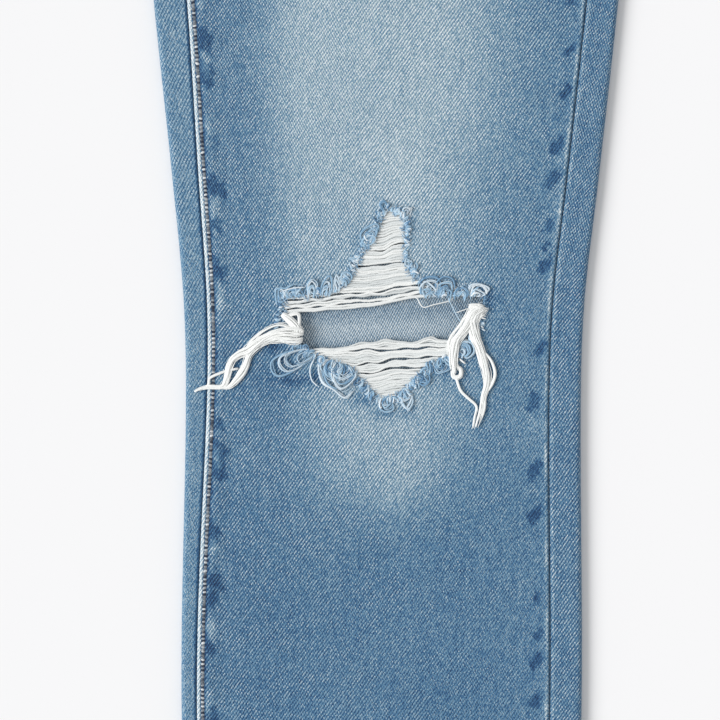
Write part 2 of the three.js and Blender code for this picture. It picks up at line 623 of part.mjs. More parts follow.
// Rivets stand at both ends of each scoop and at the coin pocket's upper corners
const RIVET_AT_WAIST = V2(111, waistSeam(111, true) - 9);
const RIVET_AT_SIDE = V2(sideSeamX(160) - 10, 160);
const COIN_RIVET_IN = 6.5;
piece("button", button(), METAL);
[["left", 1], ["right", -1]].forEach(([side, sign]) => {
  [["waist", RIVET_AT_WAIST], ["side", RIVET_AT_SIDE]].forEach(([name, { x, y }]) => {
    piece(`rivet_${name}_${side}`, rivet(sign * x, y, hipFace(x, y)), METAL);
  });
});
[["inner", COIN.left + COIN_RIVET_IN], ["outer", COIN.right - COIN_RIVET_IN]].forEach(([name, x]) => {
  const y = COIN.top - COIN_RIVET_IN;
  piece(`rivet_coin_${name}`, rivet(-x, y, coinHeight(x, y)), METAL);
});

const WEFT_SPLIT = -1;
piece("weft_upper", weft(WEFT_SPLIT + SEAM_GAP, 62), WHITE_THREAD);
piece("weft_lower", weft(-42, WEFT_SPLIT - SEAM_GAP), WHITE_THREAD);
piece("tuft_left", leftTuft(), WHITE_THREAD);
piece("tuft_right", rightTuft(), WHITE_THREAD);
Object.entries(WARP_CURLS).forEach(([name, [base, curls]]) => {
  piece(`warp_curls_${name}`, tuft(base, curls), BLUE_THREAD);
});

// The origin is on the surface under the middle of the garment's box
const box = new THREE.Box3().setFromObject(garment);
garment.position.set(0, -(box.min.y + box.max.y) / 2, 0);
const part = new THREE.Group();
part.add(garment);

export default part;
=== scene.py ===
"""A pair of ripped straight-leg jeans, laid flat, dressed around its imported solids.

Sizes are in millimetres until a mesh is made. On a leg a place is (u, v), measured along the leg's own axes
from the middle of the knee rip. Over the whole garment it is (x, y), measured from the crotch.
"""

import math

import bmesh
import bpy
import numpy as np
from mathutils import Matrix, Vector
from mathutils.bvhtree import BVHTree


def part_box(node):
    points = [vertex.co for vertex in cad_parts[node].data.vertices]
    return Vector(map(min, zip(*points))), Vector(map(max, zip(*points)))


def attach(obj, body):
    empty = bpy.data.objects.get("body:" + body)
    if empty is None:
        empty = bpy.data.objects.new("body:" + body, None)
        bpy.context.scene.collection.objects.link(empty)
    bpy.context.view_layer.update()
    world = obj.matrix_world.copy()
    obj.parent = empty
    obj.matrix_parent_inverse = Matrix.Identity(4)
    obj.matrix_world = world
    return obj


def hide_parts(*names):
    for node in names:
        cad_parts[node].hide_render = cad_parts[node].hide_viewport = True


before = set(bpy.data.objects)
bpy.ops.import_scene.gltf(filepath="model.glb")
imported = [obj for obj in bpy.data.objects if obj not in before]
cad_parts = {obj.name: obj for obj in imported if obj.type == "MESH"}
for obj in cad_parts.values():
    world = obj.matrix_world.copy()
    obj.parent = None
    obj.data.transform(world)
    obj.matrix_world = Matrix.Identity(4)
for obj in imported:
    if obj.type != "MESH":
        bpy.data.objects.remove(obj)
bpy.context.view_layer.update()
MM = 0.001
rng = np.random.default_rng(11)

# Cloth and seams, as in the solids
CLOTH = 1.25
SEAM_GAP = 0.3
PATCH = 1.0
BAND_CLOTH = 2.2

# The leg
SPREAD = math.radians(7)
CROTCH_V = 360
HEM_V = -420
HEM_DEPTH = 15
LAST_LEG_SECTION = 348
CROTCH_INNER = -146
CROTCH_CORNER = 1.4
CROTCH_DROP = 1.6
INNER_EDGE = ((HEM_V, -98), (-200, -105.5), (-40, -103.3), (13, -104.5), (75, -110.2), (169, -120.1),
              (290, -131.5), (335, -137.5), (CROTCH_V, CROTCH_INNER))
OUTER_EDGE = ((HEM_V, 97), (-200, 103), (-40, 102.6), (13, 104.6), (75, 111.8), (169, 122.2), (290, 134),
              (CROTCH_V, 138))
# The inseam lies a millimetre further out than on the solids, as in the photo
INSEAM_TOP_IN = 6
INSEAM_IN = ((HEM_V, 7.2), (-200, 7.8), (-120, 8.7), (-40, 10.8), (75, 13.5), (169, 17.2), (260, 16.6),
             (320, 12), (LAST_LEG_SECTION, INSEAM_TOP_IN))
SIDE_SEAM_IN = 16.6
SIDE_SEAM_IN_AT_WAIST = 7

# The hips: a line across starts at a height on the centre and ends at a height on the side
WAIST_AT_SIDE = 246
WAIST_HALF = 206
SIDE = ((34.6, 282), (70, 278.5), (110, 268.5), (160, 248.5), (205, 227.5), (WAIST_AT_SIDE, WAIST_HALF))
FRONT_WAIST = 222
BACK_WAIST = 256
YOKE_AT_BACK = 183
FRONT_LINES = ((0, 34.6, 0), (150, 180, 0), (183, 211, 0.3), (205, 231, 0.7), (FRONT_WAIST, WAIST_AT_SIDE, 1))
BACK_LINES = ((0, 34.6, 0), (YOKE_AT_BACK, 212, 0))
YOKE_LINES = ((YOKE_AT_BACK + SEAM_GAP, 212.3, 0), (209, 224, 0.4), (234, 235, 0.7),
              (BACK_WAIST, WAIST_AT_SIDE, 1))
HIP_BLEND = 40
CROTCH_BLEND = 16

# Heights above the surface
LEG_EDGE_TOP = 5.4
LEG_CROWN = 6.6
HEM_TOP = 6.4
HIP_EDGE_TOP = 6.8
HIP_CROWN = 7.1
SEAT_LIFT = 1.5
SEAT_FROM = 300
SEAT_TO = 330

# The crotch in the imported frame: the fly's lower end is 62 mm above it
FLY_BOTTOM = 62
CROTCH_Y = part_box("fly")[0].y / MM - FLY_BOTTOM
KNEE = (SEAM_GAP / 2 - CROTCH_INNER * math.cos(SPREAD) + CROTCH_V * math.sin(SPREAD),
        -CROTCH_INNER * math.sin(SPREAD) - CROTCH_V * math.cos(SPREAD))


def smooth(at, low, high):
    t = np.clip((np.asarray(at, float) - low) / (high - low), 0, 1)
    return t * t * (3 - 2 * t)


def lerp(a, b, t):
    return a + (b - a) * t


def hill(at, centre, half):
    """A soft hump of height 1."""
    return np.exp(-((at - centre) / half) ** 2)


def along(pairs, at):
    """Smooth curve through a few (place, value) pairs."""
    xs, ys = np.array(pairs, float).T
    slope = np.gradient(ys, xs)
    slope[1:-1] = (ys[2:] - ys[:-2]) / (xs[2:] - xs[:-2])
    t = np.clip(at, xs[0], xs[-1])
    k = np.clip(np.searchsorted(xs, t) - 1, 0, len(xs) - 2)
    h = xs[k + 1] - xs[k]
    s = (t - xs[k]) / h
    rise = (1 + 2 * s) * (1 - s) ** 2 * ys[k] + s * s * (3 - 2 * s) * ys[k + 1]
    return rise + s * (1 - s) ** 2 * h * slope[k] - s * s * (1 - s) * h * slope[k + 1]


def on_leg(u, v):
    """Garment place of a place on the leg."""
    c, s = math.cos(SPREAD), math.sin(SPREAD)
    return KNEE[0] + u * c - v * s, KNEE[1] + u * s + v * c


def turned(a, b, angle):
    """A place turned round the origin."""
    c, s = math.cos(angle), math.sin(angle)
    return a * c - b * s, a * s + b * c


def leg_axes(x, y):
    """Leg place of a garment place on the wearer's left side."""
    return turned(x - KNEE[0], y - KNEE[1], -SPREAD)


def section(h, lines):
    """The line across a panel at height h, which runs up the leg and on up the hips."""
    v = np.minimum(h, CROTCH_V)
    y_in = np.maximum(h - CROTCH_V, 0)
    y_out, bow = (np.interp(y_in, [s[0] for s in lines], [s[k] for s in lines]) for k in (1, 2))
    hips = h > CROTCH_V
    leg_in, leg_out = on_leg(along(INNER_EDGE, v), v), on_leg(along(OUTER_EDGE, v), v)
    x0 = np.where(hips, SEAM_GAP / 2, leg_in[0])
    y0 = np.where(hips, y_in, leg_in[1])
    x1 = np.where(hips, along(SIDE, y_out), leg_out[0])
    y1 = np.where(hips, y_out, leg_out[1])
    width = np.hypot(x1 - x0, y1 - y0)
    seat = smooth(v, SEAT_FROM, SEAT_TO)
    hem = 1 - smooth(v, HEM_V + HEM_DEPTH - 1, HEM_V + HEM_DEPTH + 1)

    def place(w):
        q = w / width
        t = lerp(q, smooth(q, 0, 1), bow)
        return lerp(x0, x1, q), lerp(y0, y1, t)

    return {
        "width": width,
        "place": place,
        "inseam": along(INSEAM_IN, v),
        "side_seam": lerp(SIDE_SEAM_IN, SIDE_SEAM_IN_AT_WAIST, np.clip(y_in / FRONT_WAIST, 0, 1)),
        "hip": smooth(y_in, 0, HIP_BLEND),
        "floor": SEAT_LIFT * seat,
        "edge": lerp(lerp(LEG_EDGE_TOP, HEM_TOP, hem), HIP_EDGE_TOP, seat),
        "crown": lerp(lerp(LEG_CROWN, HEM_TOP, hem), HIP_CROWN, seat),
    }


# Worn places of the denim, as brightness from 0 to 1
BASE_SHADE = 0.49
FADE_LEFT_FROM = ((-110, -60), (-70, -62), (-10, -66), (60, -74), (160, -78), (360, -60))
FADE_LEFT_TO = ((-110, -20), (-70, -12), (-10, -20), (60, -36), (160, -38), (360, -10))
FADE_RIGHT_FROM = ((-110, 0), (-70, 4), (-10, 6), (60, 14), (160, 22), (360, 10))
FADE_RIGHT_TO = ((-110, 50), (-70, 60), (-10, 66), (60, 84), (160, 96), (360, 70))
FADE_DEPTH = ((HEM_V, 0), (-125, 0), (-98, 0.05), (-70, 0.16), (-30, 0.17), (60, 0.17), (150, 0.2),
              (240, 0.19), (320, 0.1), (420, 0.03), (600, 0.02))


def fade(u, v):
    """Light area down the front of the thigh and round the knee."""
    rise = smooth(u, along(FADE_LEFT_FROM, v), along(FADE_LEFT_TO, v))
    fall = 1 - smooth(u, along(FADE_RIGHT_FROM, v), along(FADE_RIGHT_TO, v))
    return along(FADE_DEPTH, v) * rise * fall


# Paler and darker patches on the leg: middle, half width, half height, change of brightness
PATCHES = (
    (8, 82, 17, 28, 0.05), (-58, -26, 20, 20, -0.06), (8, -88, 17, 14, 0.05), (80, -52, 10, 12, 0.05),
    (95, 62, 9, 24, 0.05), (-30, -5, 14, 10, 0.03), (-60, -160, 22, 60, -0.02), (44, -200, 24, 50, -0.02),
    # The darker patches from here on lie round the rip, beside its frays and tufts: partly unfaded dye, partly
    # painted shade
    (54, 14, 5, 4, -0.16), (-57, -11, 5, 3, -0.18), (-46, -29, 8, 3, -0.17), (-35, -27, 5, 5, -0.18),
    (-10, -39, 8, 4, -0.18), (0, -46, 6, 3, -0.16), (12, -45, 5, 3, -0.12), (31, -24, 7, 4, -0.14),
    (15, 52, 3, 6, -0.08), (-14, 44, 4, 6, -0.06),
)


def patches(u, v):
    """Change of brightness that the patches make."""
    return sum(change * hill(u, at_u, half_u) * hill(v, at_v, half_v)
               for at_u, at_v, half_u, half_v, change in PATCHES)


# Unfaded spots beside the seams: heights on the leg, and how far in from the seam each lies
INSEAM_SPOTS = (130, 94.6, 72.8, 52, 27.6, -52, -65, -75.4, -109, -132.6, -143, -168, -203)
SIDE_SPOTS = (143, 121, 93.6, 76.4, 52, 41.6, 31.2, -13, -39, -74.4, -97.8, -140.4, -161, -174, -195)
RIGHT_INSEAM_SPOTS = (120, 88, 47, 6, -31, -77, -118, -166)
RIGHT_SIDE_SPOTS = (131, 104, 66, 29, -12, -58, -101, -149, -188)
SPOT_IN = 6
SPOT_HALF_WIDTH = 4.4
SPOT_HALF_HEIGHT = 5.6
SPOT_SLANT = 0.7
SPOT_EVERY = 25
SPOTS_END = 600


def with_more_spots(heights):
    """The given spots, and more of their kind up and down the rest of the seam."""
    below = np.arange(min(heights) - SPOT_EVERY + 1, HEM_V + 20, -SPOT_EVERY)
    above = np.arange(max(heights) + SPOT_EVERY - 1, SPOTS_END, SPOT_EVERY)
    extra = np.concatenate([below, above])
    return np.concatenate([heights, extra + rng.uniform(-8, 8, len(extra))])


def spots(heights, depth, v):
    """How unfaded the cloth is beside a seam, from 0 to 1."""
    total = np.zeros(np.broadcast(depth, v).shape)
    for at in heights:
        kind = np.random.default_rng(int(abs(at) * 10))
        size, deeper, strength = kind.uniform(0.75, 1.25), kind.uniform(-1.5, 2), kind.uniform(0.78, 1.15)
        height = hill(v, at - SPOT_SLANT * (depth - SPOT_IN), SPOT_HALF_HEIGHT * size)
        total = np.maximum(total, strength * (height * hill(depth, SPOT_IN + deeper, SPOT_HALF_WIDTH * size)))
    return total


# Creases: soft troughs from one place to another, with half width and depth
LEG_CREASES = (
    ((-100, 262), (-20, 236), 9, 0.5), ((-108, 300), (-30, 282), 9, 0.6), ((-96, 205), (-38, 190), 8, 0.4),
    ((104, 232), (40, 214), 9, 0.4), ((-70, 128), (-30, 118), 9, 0.25), ((60, 98), (20, 92), 9, 0.2),
    ((-80, -60), (-30, -72), 9, 0.3), ((78, -48), (34, -62), 9, 0.3), ((-66, -118), (20, -128), 11, 0.35),
    ((70, -170), (-10, -186), 12, 0.35), ((-80, -235), (-10, -222), 11, 0.4),
    ((74, -262), (0, -276), 11, 0.4), ((-84, -322), (20, -336), 12, 0.45),
    ((86, -356), (10, -366), 10, 0.4), ((-70, -384), (-6, -378), 9, 0.4),
)
HIP_CREASES = (
    ((30, 18), (150, 62), 8, 0.8), ((46, 40), (170, 96), 9, 0.9), ((52, 70), (176, 130), 8, 0.7),
    ((60, 104), (150, 150), 8, 0.5), ((20, 0), (140, 20), 8, 0.7), ((160, 40), (250, 52), 9, 0.6),
    ((190, 88), (256, 92), 8, 0.5), ((178, 10), (262, 20), 9, 0.5),
)
BACK_CREASES = (
    ((-90, 34), (70, 22), 8, 0.7), ((-84, 12), (78, 2), 7, 0.8), ((-90, -10), (70, -20), 8, 0.8),
    ((-74, -34), (84, -40), 8, 0.6), ((-100, 300), (40, 318), 10, 0.7), ((-110, 270), (20, 282), 9, 0.6),
    ((-80, -250), (60, -262), 12, 0.5), ((-84, -340), (70, -352), 12, 0.5), ((90, 150), (-20, 138), 11, 0.5),
)
# A crease's bow; the ridge above it, as a share of its depth, and its distance in half widths
CREASE_BEND = 0.012
CREASE_LIP = 0.6
CREASE_LIP_OFF = 1.7
WAVE_LENGTHS = (190, 140, 96, 70, 52)


def troughs(creases, a, b):
    """Depth of the listed creases at places (a, b): each is a trough with a low ridge above it."""
    total = np.zeros(np.broadcast(a, b).shape)
    for (a0, b0), (a1, b1), half, depth in creases:
        length = math.hypot(a1 - a0, b1 - b0)
        da, db = (a1 - a0) / length, (b1 - b0) / length
        run = (a - a0) * da + (b - b0) * db
        off = np.abs(da) * (b - b0) - np.sign(da) * db * (a - a0) - CREASE_BEND * half * (run - length / 2)
        ends = smooth(run, -half, half * 1.5) * (1 - smooth(run, length - half * 1.5, length + half))
        total += depth * ends * (hill(off, 0, half) - CREASE_LIP * hill(off, CREASE_LIP_OFF * half, half))
    return total


def slow_waves(a, b, seed):
    """Very soft rise and fall of cloth that isn't ironed flat, from -1 to 1."""
    waves = np.random.default_rng(seed)
    total = np.zeros(np.broadcast(a, b).shape)
    for length in WAVE_LENGTHS:
        turn, phase = waves.uniform(0, math.pi), waves.uniform(0, 2 * math.pi)
        total += np.sin((a * math.cos(turn) + b * math.sin(turn)) * 2 * math.pi / length + phase)
    return total / len(WAVE_LENGTHS)


# Meshes and pieces
def in_frame(points):
    """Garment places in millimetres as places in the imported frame, in metres."""
    placed = points * MM
    placed[:, 1] += CROTCH_Y * MM
    return placed


def finished(name, bm):
    """A new mesh from a bmesh, which is then freed."""
    mesh = bpy.data.meshes.new(name)
    bm.to_mesh(mesh)
    bm.free()
    return mesh


def points_of(mesh):
    """A mesh's points as rows of x, y and z."""
    co = np.empty(len(mesh.vertices) * 3)
    mesh.vertices.foreach_get("co", co)
    return co.reshape(-1, 3)


def set_values(mesh, key, values):
    """One number on each point of a mesh, which its material reads."""
    layer = mesh.attributes.get(key) or mesh.attributes.new(key, "FLOAT", "POINT")
    layer.data.foreach_set("value", np.ascontiguousarray(values, np.float32))


def in_scene(name, data):
    """A new object in the scene."""
    made = bpy.data.objects.new(name, data)
    bpy.context.scene.collection.objects.link(made)
    return made


def add_piece(mesh, finishes, node=None):
    """A mesh as a piece that rides on the garment, in place of its solid if it has one."""
    for finish in finishes:
        mesh.materials.append(finish)
    mesh.polygons.foreach_set("use_smooth", np.ones(len(mesh.polygons), bool))
    piece = in_scene(mesh.name, mesh)
    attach(piece, "root")
    if node:
        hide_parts(node)
    return piece


# Cloth is a grid from the operator, whose points are then moved to their place
def sheet_mesh(name, points, shades, uv, inside_out):
    """One layer of cloth from a grid of points (rows, columns, 3), with its shade values and cloth axes."""
    rows, columns = points.shape[:2]
    bm = bmesh.new()
    bmesh.ops.create_grid(bm, x_segments=columns - 1, y_segments=rows - 1, size=0.5)
    mesh = finished(name, bm)
    share = points_of(mesh)[:, :2] + 0.5
    column, row = np.rint(share * (columns - 1, rows - 1)).astype(int).T
    mesh.vertices.foreach_set("co", in_frame(points[row, column]).ravel())
    for key, values in shades.items():
        set_values(mesh, key, np.broadcast_to(values, (rows, columns))[row, column])
    set_cloth_axes(mesh, uv[row, column])
    if inside_out:
        mesh.flip_normals()
    mesh.update()
    return mesh


def set_cloth_axes(mesh, values):
    """The cloth's own axes in metres, across and along the warp, as the mesh's UV map."""
    layer = mesh.uv_layers.get("cloth") or mesh.uv_layers.new(name="cloth")
    corner = np.empty(len(mesh.loops), int)
    mesh.loops.foreach_get("vertex_index", corner)
    layer.data.foreach_set("uv", (values[corner] * MM).astype(np.float32).ravel())


def inside(outline, x, y):
    """Whether places lie inside a closed outline."""
    result = np.zeros(np.shape(x), bool)
    for (x0, y0), (x1, y1) in zip(outline, np.roll(outline, -1, 0)):
        crosses = (y0 > y) != (y1 > y)
        with np.errstate(divide="ignore", invalid="ignore"):
            result ^= crosses & (x < (x1 - x0) * (y - y0) / (y1 - y0) + x0)
    return result


def cut_hole(mesh, outline, reach, keep_inside=False):
    """Cuts an outline out of a sheet, or trims the sheet to it, and draws its edge onto the outline."""
    outline = np.asarray(outline, float)
    bm = bmesh.new()
    bm.from_mesh(mesh)
    rim = {v for v in bm.verts if v.is_boundary}
    centres = np.array([f.calc_center_median()[:2] for f in bm.faces]) / MM - (0, CROTCH_Y)
    bm.faces.ensure_lookup_table()
    gone = [bm.faces[i] for i in np.flatnonzero(inside(outline, *centres.T) != keep_inside)]
    bmesh.ops.delete(bm, geom=gone, context="FACES")
    starts, ends = outline, np.roll(outline, -1, 0)
    runs = ends - starts
    for vert in bm.verts:
        if vert in rim or not vert.is_boundary:
            continue
        at = np.array(vert.co[:2]) / MM - (0, CROTCH_Y)
        share = np.clip(((at - starts) * runs).sum(1) / (runs ** 2).sum(1), 0, 1)
        nearest = starts + runs * share[:, None]
        best = nearest[np.argmin(((nearest - at) ** 2).sum(1))]
        if np.hypot(*(best - at)) < reach:
            vert.co.x, vert.co.y = best[0] * MM, (best[1] + CROTCH_Y) * MM
    bm.to_mesh(mesh)
    bm.free()


def cloth_piece(mesh, node, thickness=CLOTH):
    """A sheet with its thickness and its paler reverse, in place of its solid."""
    piece = add_piece(mesh, (FACE, REVERSE), node)
    wall = piece.modifiers.new("thickness", "SOLIDIFY")
    wall.thickness = thickness * MM
    wall.offset = -1
    wall.use_even_offset = False
    wall.material_offset = 1
    return piece


# Materials
DENIM_RAMP = ((0.10, (12, 32, 60)), (0.20, (21, 53, 91)), (0.32, (37, 84, 128)), (0.48, (81, 125, 158)),
              (0.56, (110, 146, 171)), (0.66, (146, 172, 189)), (0.72, (165, 186, 198)), (0.87, (212, 223, 229)),
              (1.0, (238, 244, 246)))
REVERSE_RAMP = ((0.2, (40, 66, 96)), (0.45, (92, 122, 148)), (0.67, (154, 174, 187)), (0.9, (222, 230, 234)))
WHITE_RAMP = ((0.0, (150, 158, 162)), (0.5, (226, 230, 230)), (1.0, (248, 249, 247)))
BLUE_RAMP = ((0.0, (44, 78, 114)), (0.3, (102, 147, 184)), (0.6, (160, 194, 217)), (1.0, (232, 240, 245)))
# The seam thread's darkest stop makes the inseam's dark stitches, which are painted shadow between stitches
STITCH_RAMP = ((0.0, (40, 50, 68)), (0.5, (138, 146, 153)), (1.0, (222, 226, 228)))
BRASS_RAMP = ((0.0, (62, 46, 34)), (0.5, (140, 108, 74)), (1.0, (196, 170, 128)))
FLOOR_GREY = (243, 243, 244)


def linear(colour):
    """Linear value of a colour given as 0 to 255."""
    parts = np.array(colour) / 255
    return (*np.where(parts <= 0.04045, parts / 12.92, ((parts + 0.055) / 1.055) ** 2.4), 1)


class Recipe:
    """Short calls that put a material together."""

    def __init__(self, name, roughness, **settings):
        self.material = bpy.data.materials.new(name)
        self.material.use_nodes = True
        self.tree = self.material.node_tree
        self.shader = self.tree.nodes["Principled BSDF"]
        self.shader.inputs["Roughness"].default_value = roughness
        for key, value in settings.items():
            self.shader.inputs[key.replace("_", " ")].default_value = value

    def feed(self, socket, value):
        if isinstance(value, bpy.types.NodeSocket):
            self.tree.links.new(value, socket)
        else:
            socket.default_value = value

    def node(self, kind, inputs, output=0, **settings):
        made = self.tree.nodes.new("ShaderNode" + kind)
        for key, value in settings.items():
            setattr(made, key, value)
        for key, value in inputs.items():
            self.feed(made.inputs[key], value)
        return made.outputs[output]

    def math(self, operation, *values):
        return self.node("Math", dict(enumerate(values)), operation=operation)

    def total(self, *terms):
        """Sum of (value, share) pairs and plain values."""
        result = 0.0
        for term in terms:
            value, share = term if isinstance(term, tuple) else (term, 1.0)
            result = self.math("MULTIPLY_ADD", value, share, result)
        return result

    def step(self, value, low, high):
        return self.node("MapRange", {0: value, 1: low, 2: high}, interpolation_type="SMOOTHSTEP")

    def attribute(self, name):
        return self.node("Attribute", {}, output=2, attribute_name=name)

    def cloth_axes(self):
        """Across and along the cloth, in millimetres."""
        uv = self.node("UVMap", {}, uv_map="cloth")
        split = self.tree.nodes.new("ShaderNodeSeparateXYZ")
        self.feed(split.inputs[0], uv)
        return tuple(self.math("MULTIPLY", split.outputs[k], 1 / MM) for k in (0, 1))

    def noise(self, u, v, across, along_it, seed, detail=2.0):
        """Noise round 0, from about -1 to 1, with blots of a given size in millimetres."""
        place = {0: self.math("DIVIDE", u, across), 1: self.math("DIVIDE", v, along_it), 2: float(seed)}
        where = self.node("CombineXYZ", place)
        value = self.node("TexNoise", {"Vector": where, "Scale": 1.0, "Detail": detail})
        return self.math("MULTIPLY_ADD", value, 4.0, -2.0)

    def lines(self, u, v, angle, pitch, wobble):
        """Fine parallel lines at an angle, from -1 to 1."""
        across = math.radians(angle - 90)
        place = self.total((u, math.cos(across)), (v, math.sin(across)), wobble)
        return self.math("SINE", self.math("MULTIPLY", place, 2 * math.pi / pitch))

    def ramp(self, value, stops):
        made = self.tree.nodes.new("ShaderNodeValToRGB")
        elements = made.color_ramp.elements
        while len(elements) < len(stops):
            elements.new(0.5)
        for element, (place, colour) in zip(elements, stops):
            element.position = place
            element.color = linear(colour)
        self.feed(made.inputs[0], value)
        self.feed(self.shader.inputs["Base Color"], made.outputs[0])

    def bump(self, height, depth):
        made = self.node("Bump", {"Strength": 1.0, "Distance": depth * MM, "Height": height})
        self.feed(self.shader.inputs["Normal"], made)


# The weave: pitches in millimetres, angles in degrees. The shares in denim() are steps of brightness.
WARP_PITCH = 0.45
WEFT_PITCH = 0.62
TWILL_REPEAT = 4
TWILL_ANGLE = 54
TWILL_PITCH = 1.46
TWIST_ANGLE = 117
TWIST_PITCH = 1.15
REVERSE_LIFT = 0.125
STREAK_ALONG = 0.9
STREAK_ASIDE = 0.436


def denim(name, ramp, reverse=False):
    """Washed right-hand twill: the weave's own crossings, uneven yarns, worn and unfaded places, and the painted
    shade that the cloth's values carry in seam ditches, crease troughs and beside the rip.
    """
    r = Recipe(name, roughness=0.88, Sheen_Weight=0.08)
    u, v = r.cloth_axes()
    zones = r.noise(u, v, 22, 30, 3)
    drift = r.math("MULTIPLY", r.noise(u, v, 12, 12, 5), 0.3)
    warp = r.math("FLOOR", r.math("DIVIDE", r.total(u, drift), WARP_PITCH))
    pick = r.math("FLOOR", r.math("DIVIDE", r.total(v, drift), WEFT_PITCH))
    order = r.math("FLOORED_MODULO", r.math("SUBTRACT", warp, pick), TWILL_REPEAT)
    crossing = r.math("LESS_THAN", order, 0.5)
    yarns = r.node("CombineXYZ", {0: warp, 1: pick})
    cell = r.node("TexWhiteNoise", {"Vector": yarns}, noise_dimensions="2D")
    twill = r.lines(u, v, TWILL_ANGLE, TWILL_PITCH, drift)
    twist = r.lines(u, v, TWIST_ANGLE, TWIST_PITCH, drift)
    grain = r.noise(u, v, 0.8, 1.3, 9, detail=1.0)
    slubs = r.noise(r.math("MULTIPLY", warp, 7.3), v, 1, 13, 13)
    blots = r.noise(u, v, 5, 7, 17)
    leftward = r.math("MULTIPLY", r.step(r.math("MULTIPLY", u, -1.0), -5, 25), r.step(v, 10, 50))
    twill_share = r.total((zones, 0.03), (leftward, -0.05), 0.09)
    twist_share = r.total((zones, -0.035), (leftward, 0.06), 0.05)
    dots = r.math("MULTIPLY", crossing, r.math("ADD", cell, 0.3))
    weave = r.total((twill, twill_share), (twist, twist_share), (grain, 0.05), (dots, 0.19),
                    (r.math("SUBTRACT", cell, 0.5), 0.2), (slubs, 0.038), -0.04)
    if reverse:
        shade = r.total((weave, 0.8), (twist, 0.14), r.attribute("worn"), REVERSE_LIFT)
    else:
        worn = r.total(r.attribute("worn"), (blots, 0.018), (r.noise(u, v, 3, 26, 43), 0.022),
                       (r.noise(u, v, 38, 50, 21), 0.012))
        ragged_edge = r.noise(r.total(u, (v, 0.4)), v, 3.4, 4.2, 19)
        # The dark value holds unfaded spots beside the seams and painted shade in the seam ditches
        spots_here = r.total(r.attribute("dark"), (ragged_edge, 0.3), (grain, 0.13), (twist, 0.05))
        unfaded = r.step(spots_here, 0.32, 0.68)
        bare = r.step(r.total(r.attribute("bare"), (blots, 0.1), (grain, 0.08)), 0.2, 0.75)
        down = r.total((v, STREAK_ALONG), (u, -STREAK_ASIDE))
        beside = r.total((u, STREAK_ALONG), (v, STREAK_ASIDE))
        streaks = r.step(r.noise(beside, down, 0.9, 11, 29), 0.72, 1.25)
        marks = r.step(r.noise(beside, down, 1.3, 7, 37), 0.85, 1.3)
        calm = r.math("MULTIPLY_ADD", unfaded, -0.3, 1.0)
        shade = r.total((weave, calm), worn, (unfaded, -0.18), (bare, 0.3), (streaks, 0.1), (marks, -0.08))
    r.ramp(shade, ramp)
    r.bump(r.total(twill, (twist, 0.4), (grain, 0.6), (crossing, -0.6)), 0.1)
    return r.material


def yarn(name, ramp, spread, size=0.5):
    """Soft spun thread, with a shade of its own on each thread."""
    r = Recipe(name, roughness=0.85, Sheen_Weight=0.1)
    where = r.node("TexCoord", {}, output=3)
    fine = r.node("TexNoise", {"Vector": where, "Scale": 1 / (size * MM), "Detail": 2.0})
    shade = r.total(r.attribute("shade"), (r.math("SUBTRACT", fine, 0.5), spread * 2))
    r.ramp(shade, ramp)
    r.bump(fine, 0.12)
    return r.material


def brass(name):
    """Old brass with worn high places."""
    r = Recipe(name, roughness=0.38, Metallic=1.0)
    where = r.node("TexCoord", {}, output=3)
    cloud = r.node("TexNoise", {"Vector": where, "Scale": 420.0, "Detail": 5.0})
    edge = r.node("NewGeometry", {}, output=7)
    shade = r.total((r.math("SUBTRACT", cloud, 0.5), 1.4), (r.math("SUBTRACT", edge, 0.5), 2.0), 0.5)
    r.ramp(shade, BRASS_RAMP)
    r.bump(cloud, 0.05)
    return r.material


FACE = denim("washed_denim", DENIM_RAMP)
REVERSE = denim("denim_reverse", REVERSE_RAMP, reverse=True)
WHITE = yarn("white_weft_yarn", WHITE_RAMP, spread=0.16)
BLUE = yarn("blue_warp_yarn", BLUE_RAMP, spread=0.22)
SEWING = yarn("seam_thread", STITCH_RAMP, spread=0.4, size=0.7)
METAL = brass("worn_brass")

# Grid lines across a panel: a share of the way from seam to seam, and millimetres from that place
FINE_EDGE = (0, 0.3, 0.7, 1.2, 1.8, 2.6, 3.6, 5, 6.6, 8.4)


def across_panel(middle):
    """Close lines beside both seams and the given shares between them."""
    left = [(0, d) for d in FINE_EDGE]
    right = [(1, -d) for d in reversed(FINE_EDGE)]
    shares, offsets = np.array(left + [(s, 0) for s in middle] + right).T
    return shares, offsets


RIP_FROM, RIP_TO = -62, 72
HEM_LINES = [HEM_V + d for d in (0, 1.5, 4, 8, 12, 13.8, 14.6, 15.4, 16.2)]
RIP_COLUMNS = np.concatenate([np.linspace(0.066, 0.16, 6), np.arange(0.17, 0.85, 0.0095),
                              np.linspace(0.86, 0.934, 6)])
PLAIN_COLUMNS = np.linspace(0.066, 0.934, 64)


def up_panel(step, top, rip_step=None):
    """Heights of the grid lines, close together at the hem and beside the rip."""
    low, high = HEM_V + 19, CROTCH_V - 14
    leg = [np.arange(low, high, step)]
    if rip_step:
        leg = [np.arange(low, RIP_FROM, step), np.arange(RIP_FROM, RIP_TO, rip_step),
               np.arange(RIP_TO, high, step)]
    hips = np.arange(CROTCH_V + 4, CROTCH_V + top - 2, step)
    crotch = np.linspace(LAST_LEG_SECTION, CROTCH_V, 4)
    return np.concatenate([HEM_LINES, *leg, crotch, hips, [CROTCH_V + top]])[:, None]


# Beside the inseam: the row of sewing, the ridge of the seam and the ditch outside it; lengths of the puckers
SEWN_IN = 3.5
SEWN_HALF = 1.2
RIDGE = 0.75
DITCH = 0.9
PUCKER = 24
SIDE_PUCKER = 31
RUB_LENGTH = 41
# The front's folded edge, rubbed white: how far in it lies, and its half width
RUBBED_IN = 0.85
RUBBED_HALF = 0.9


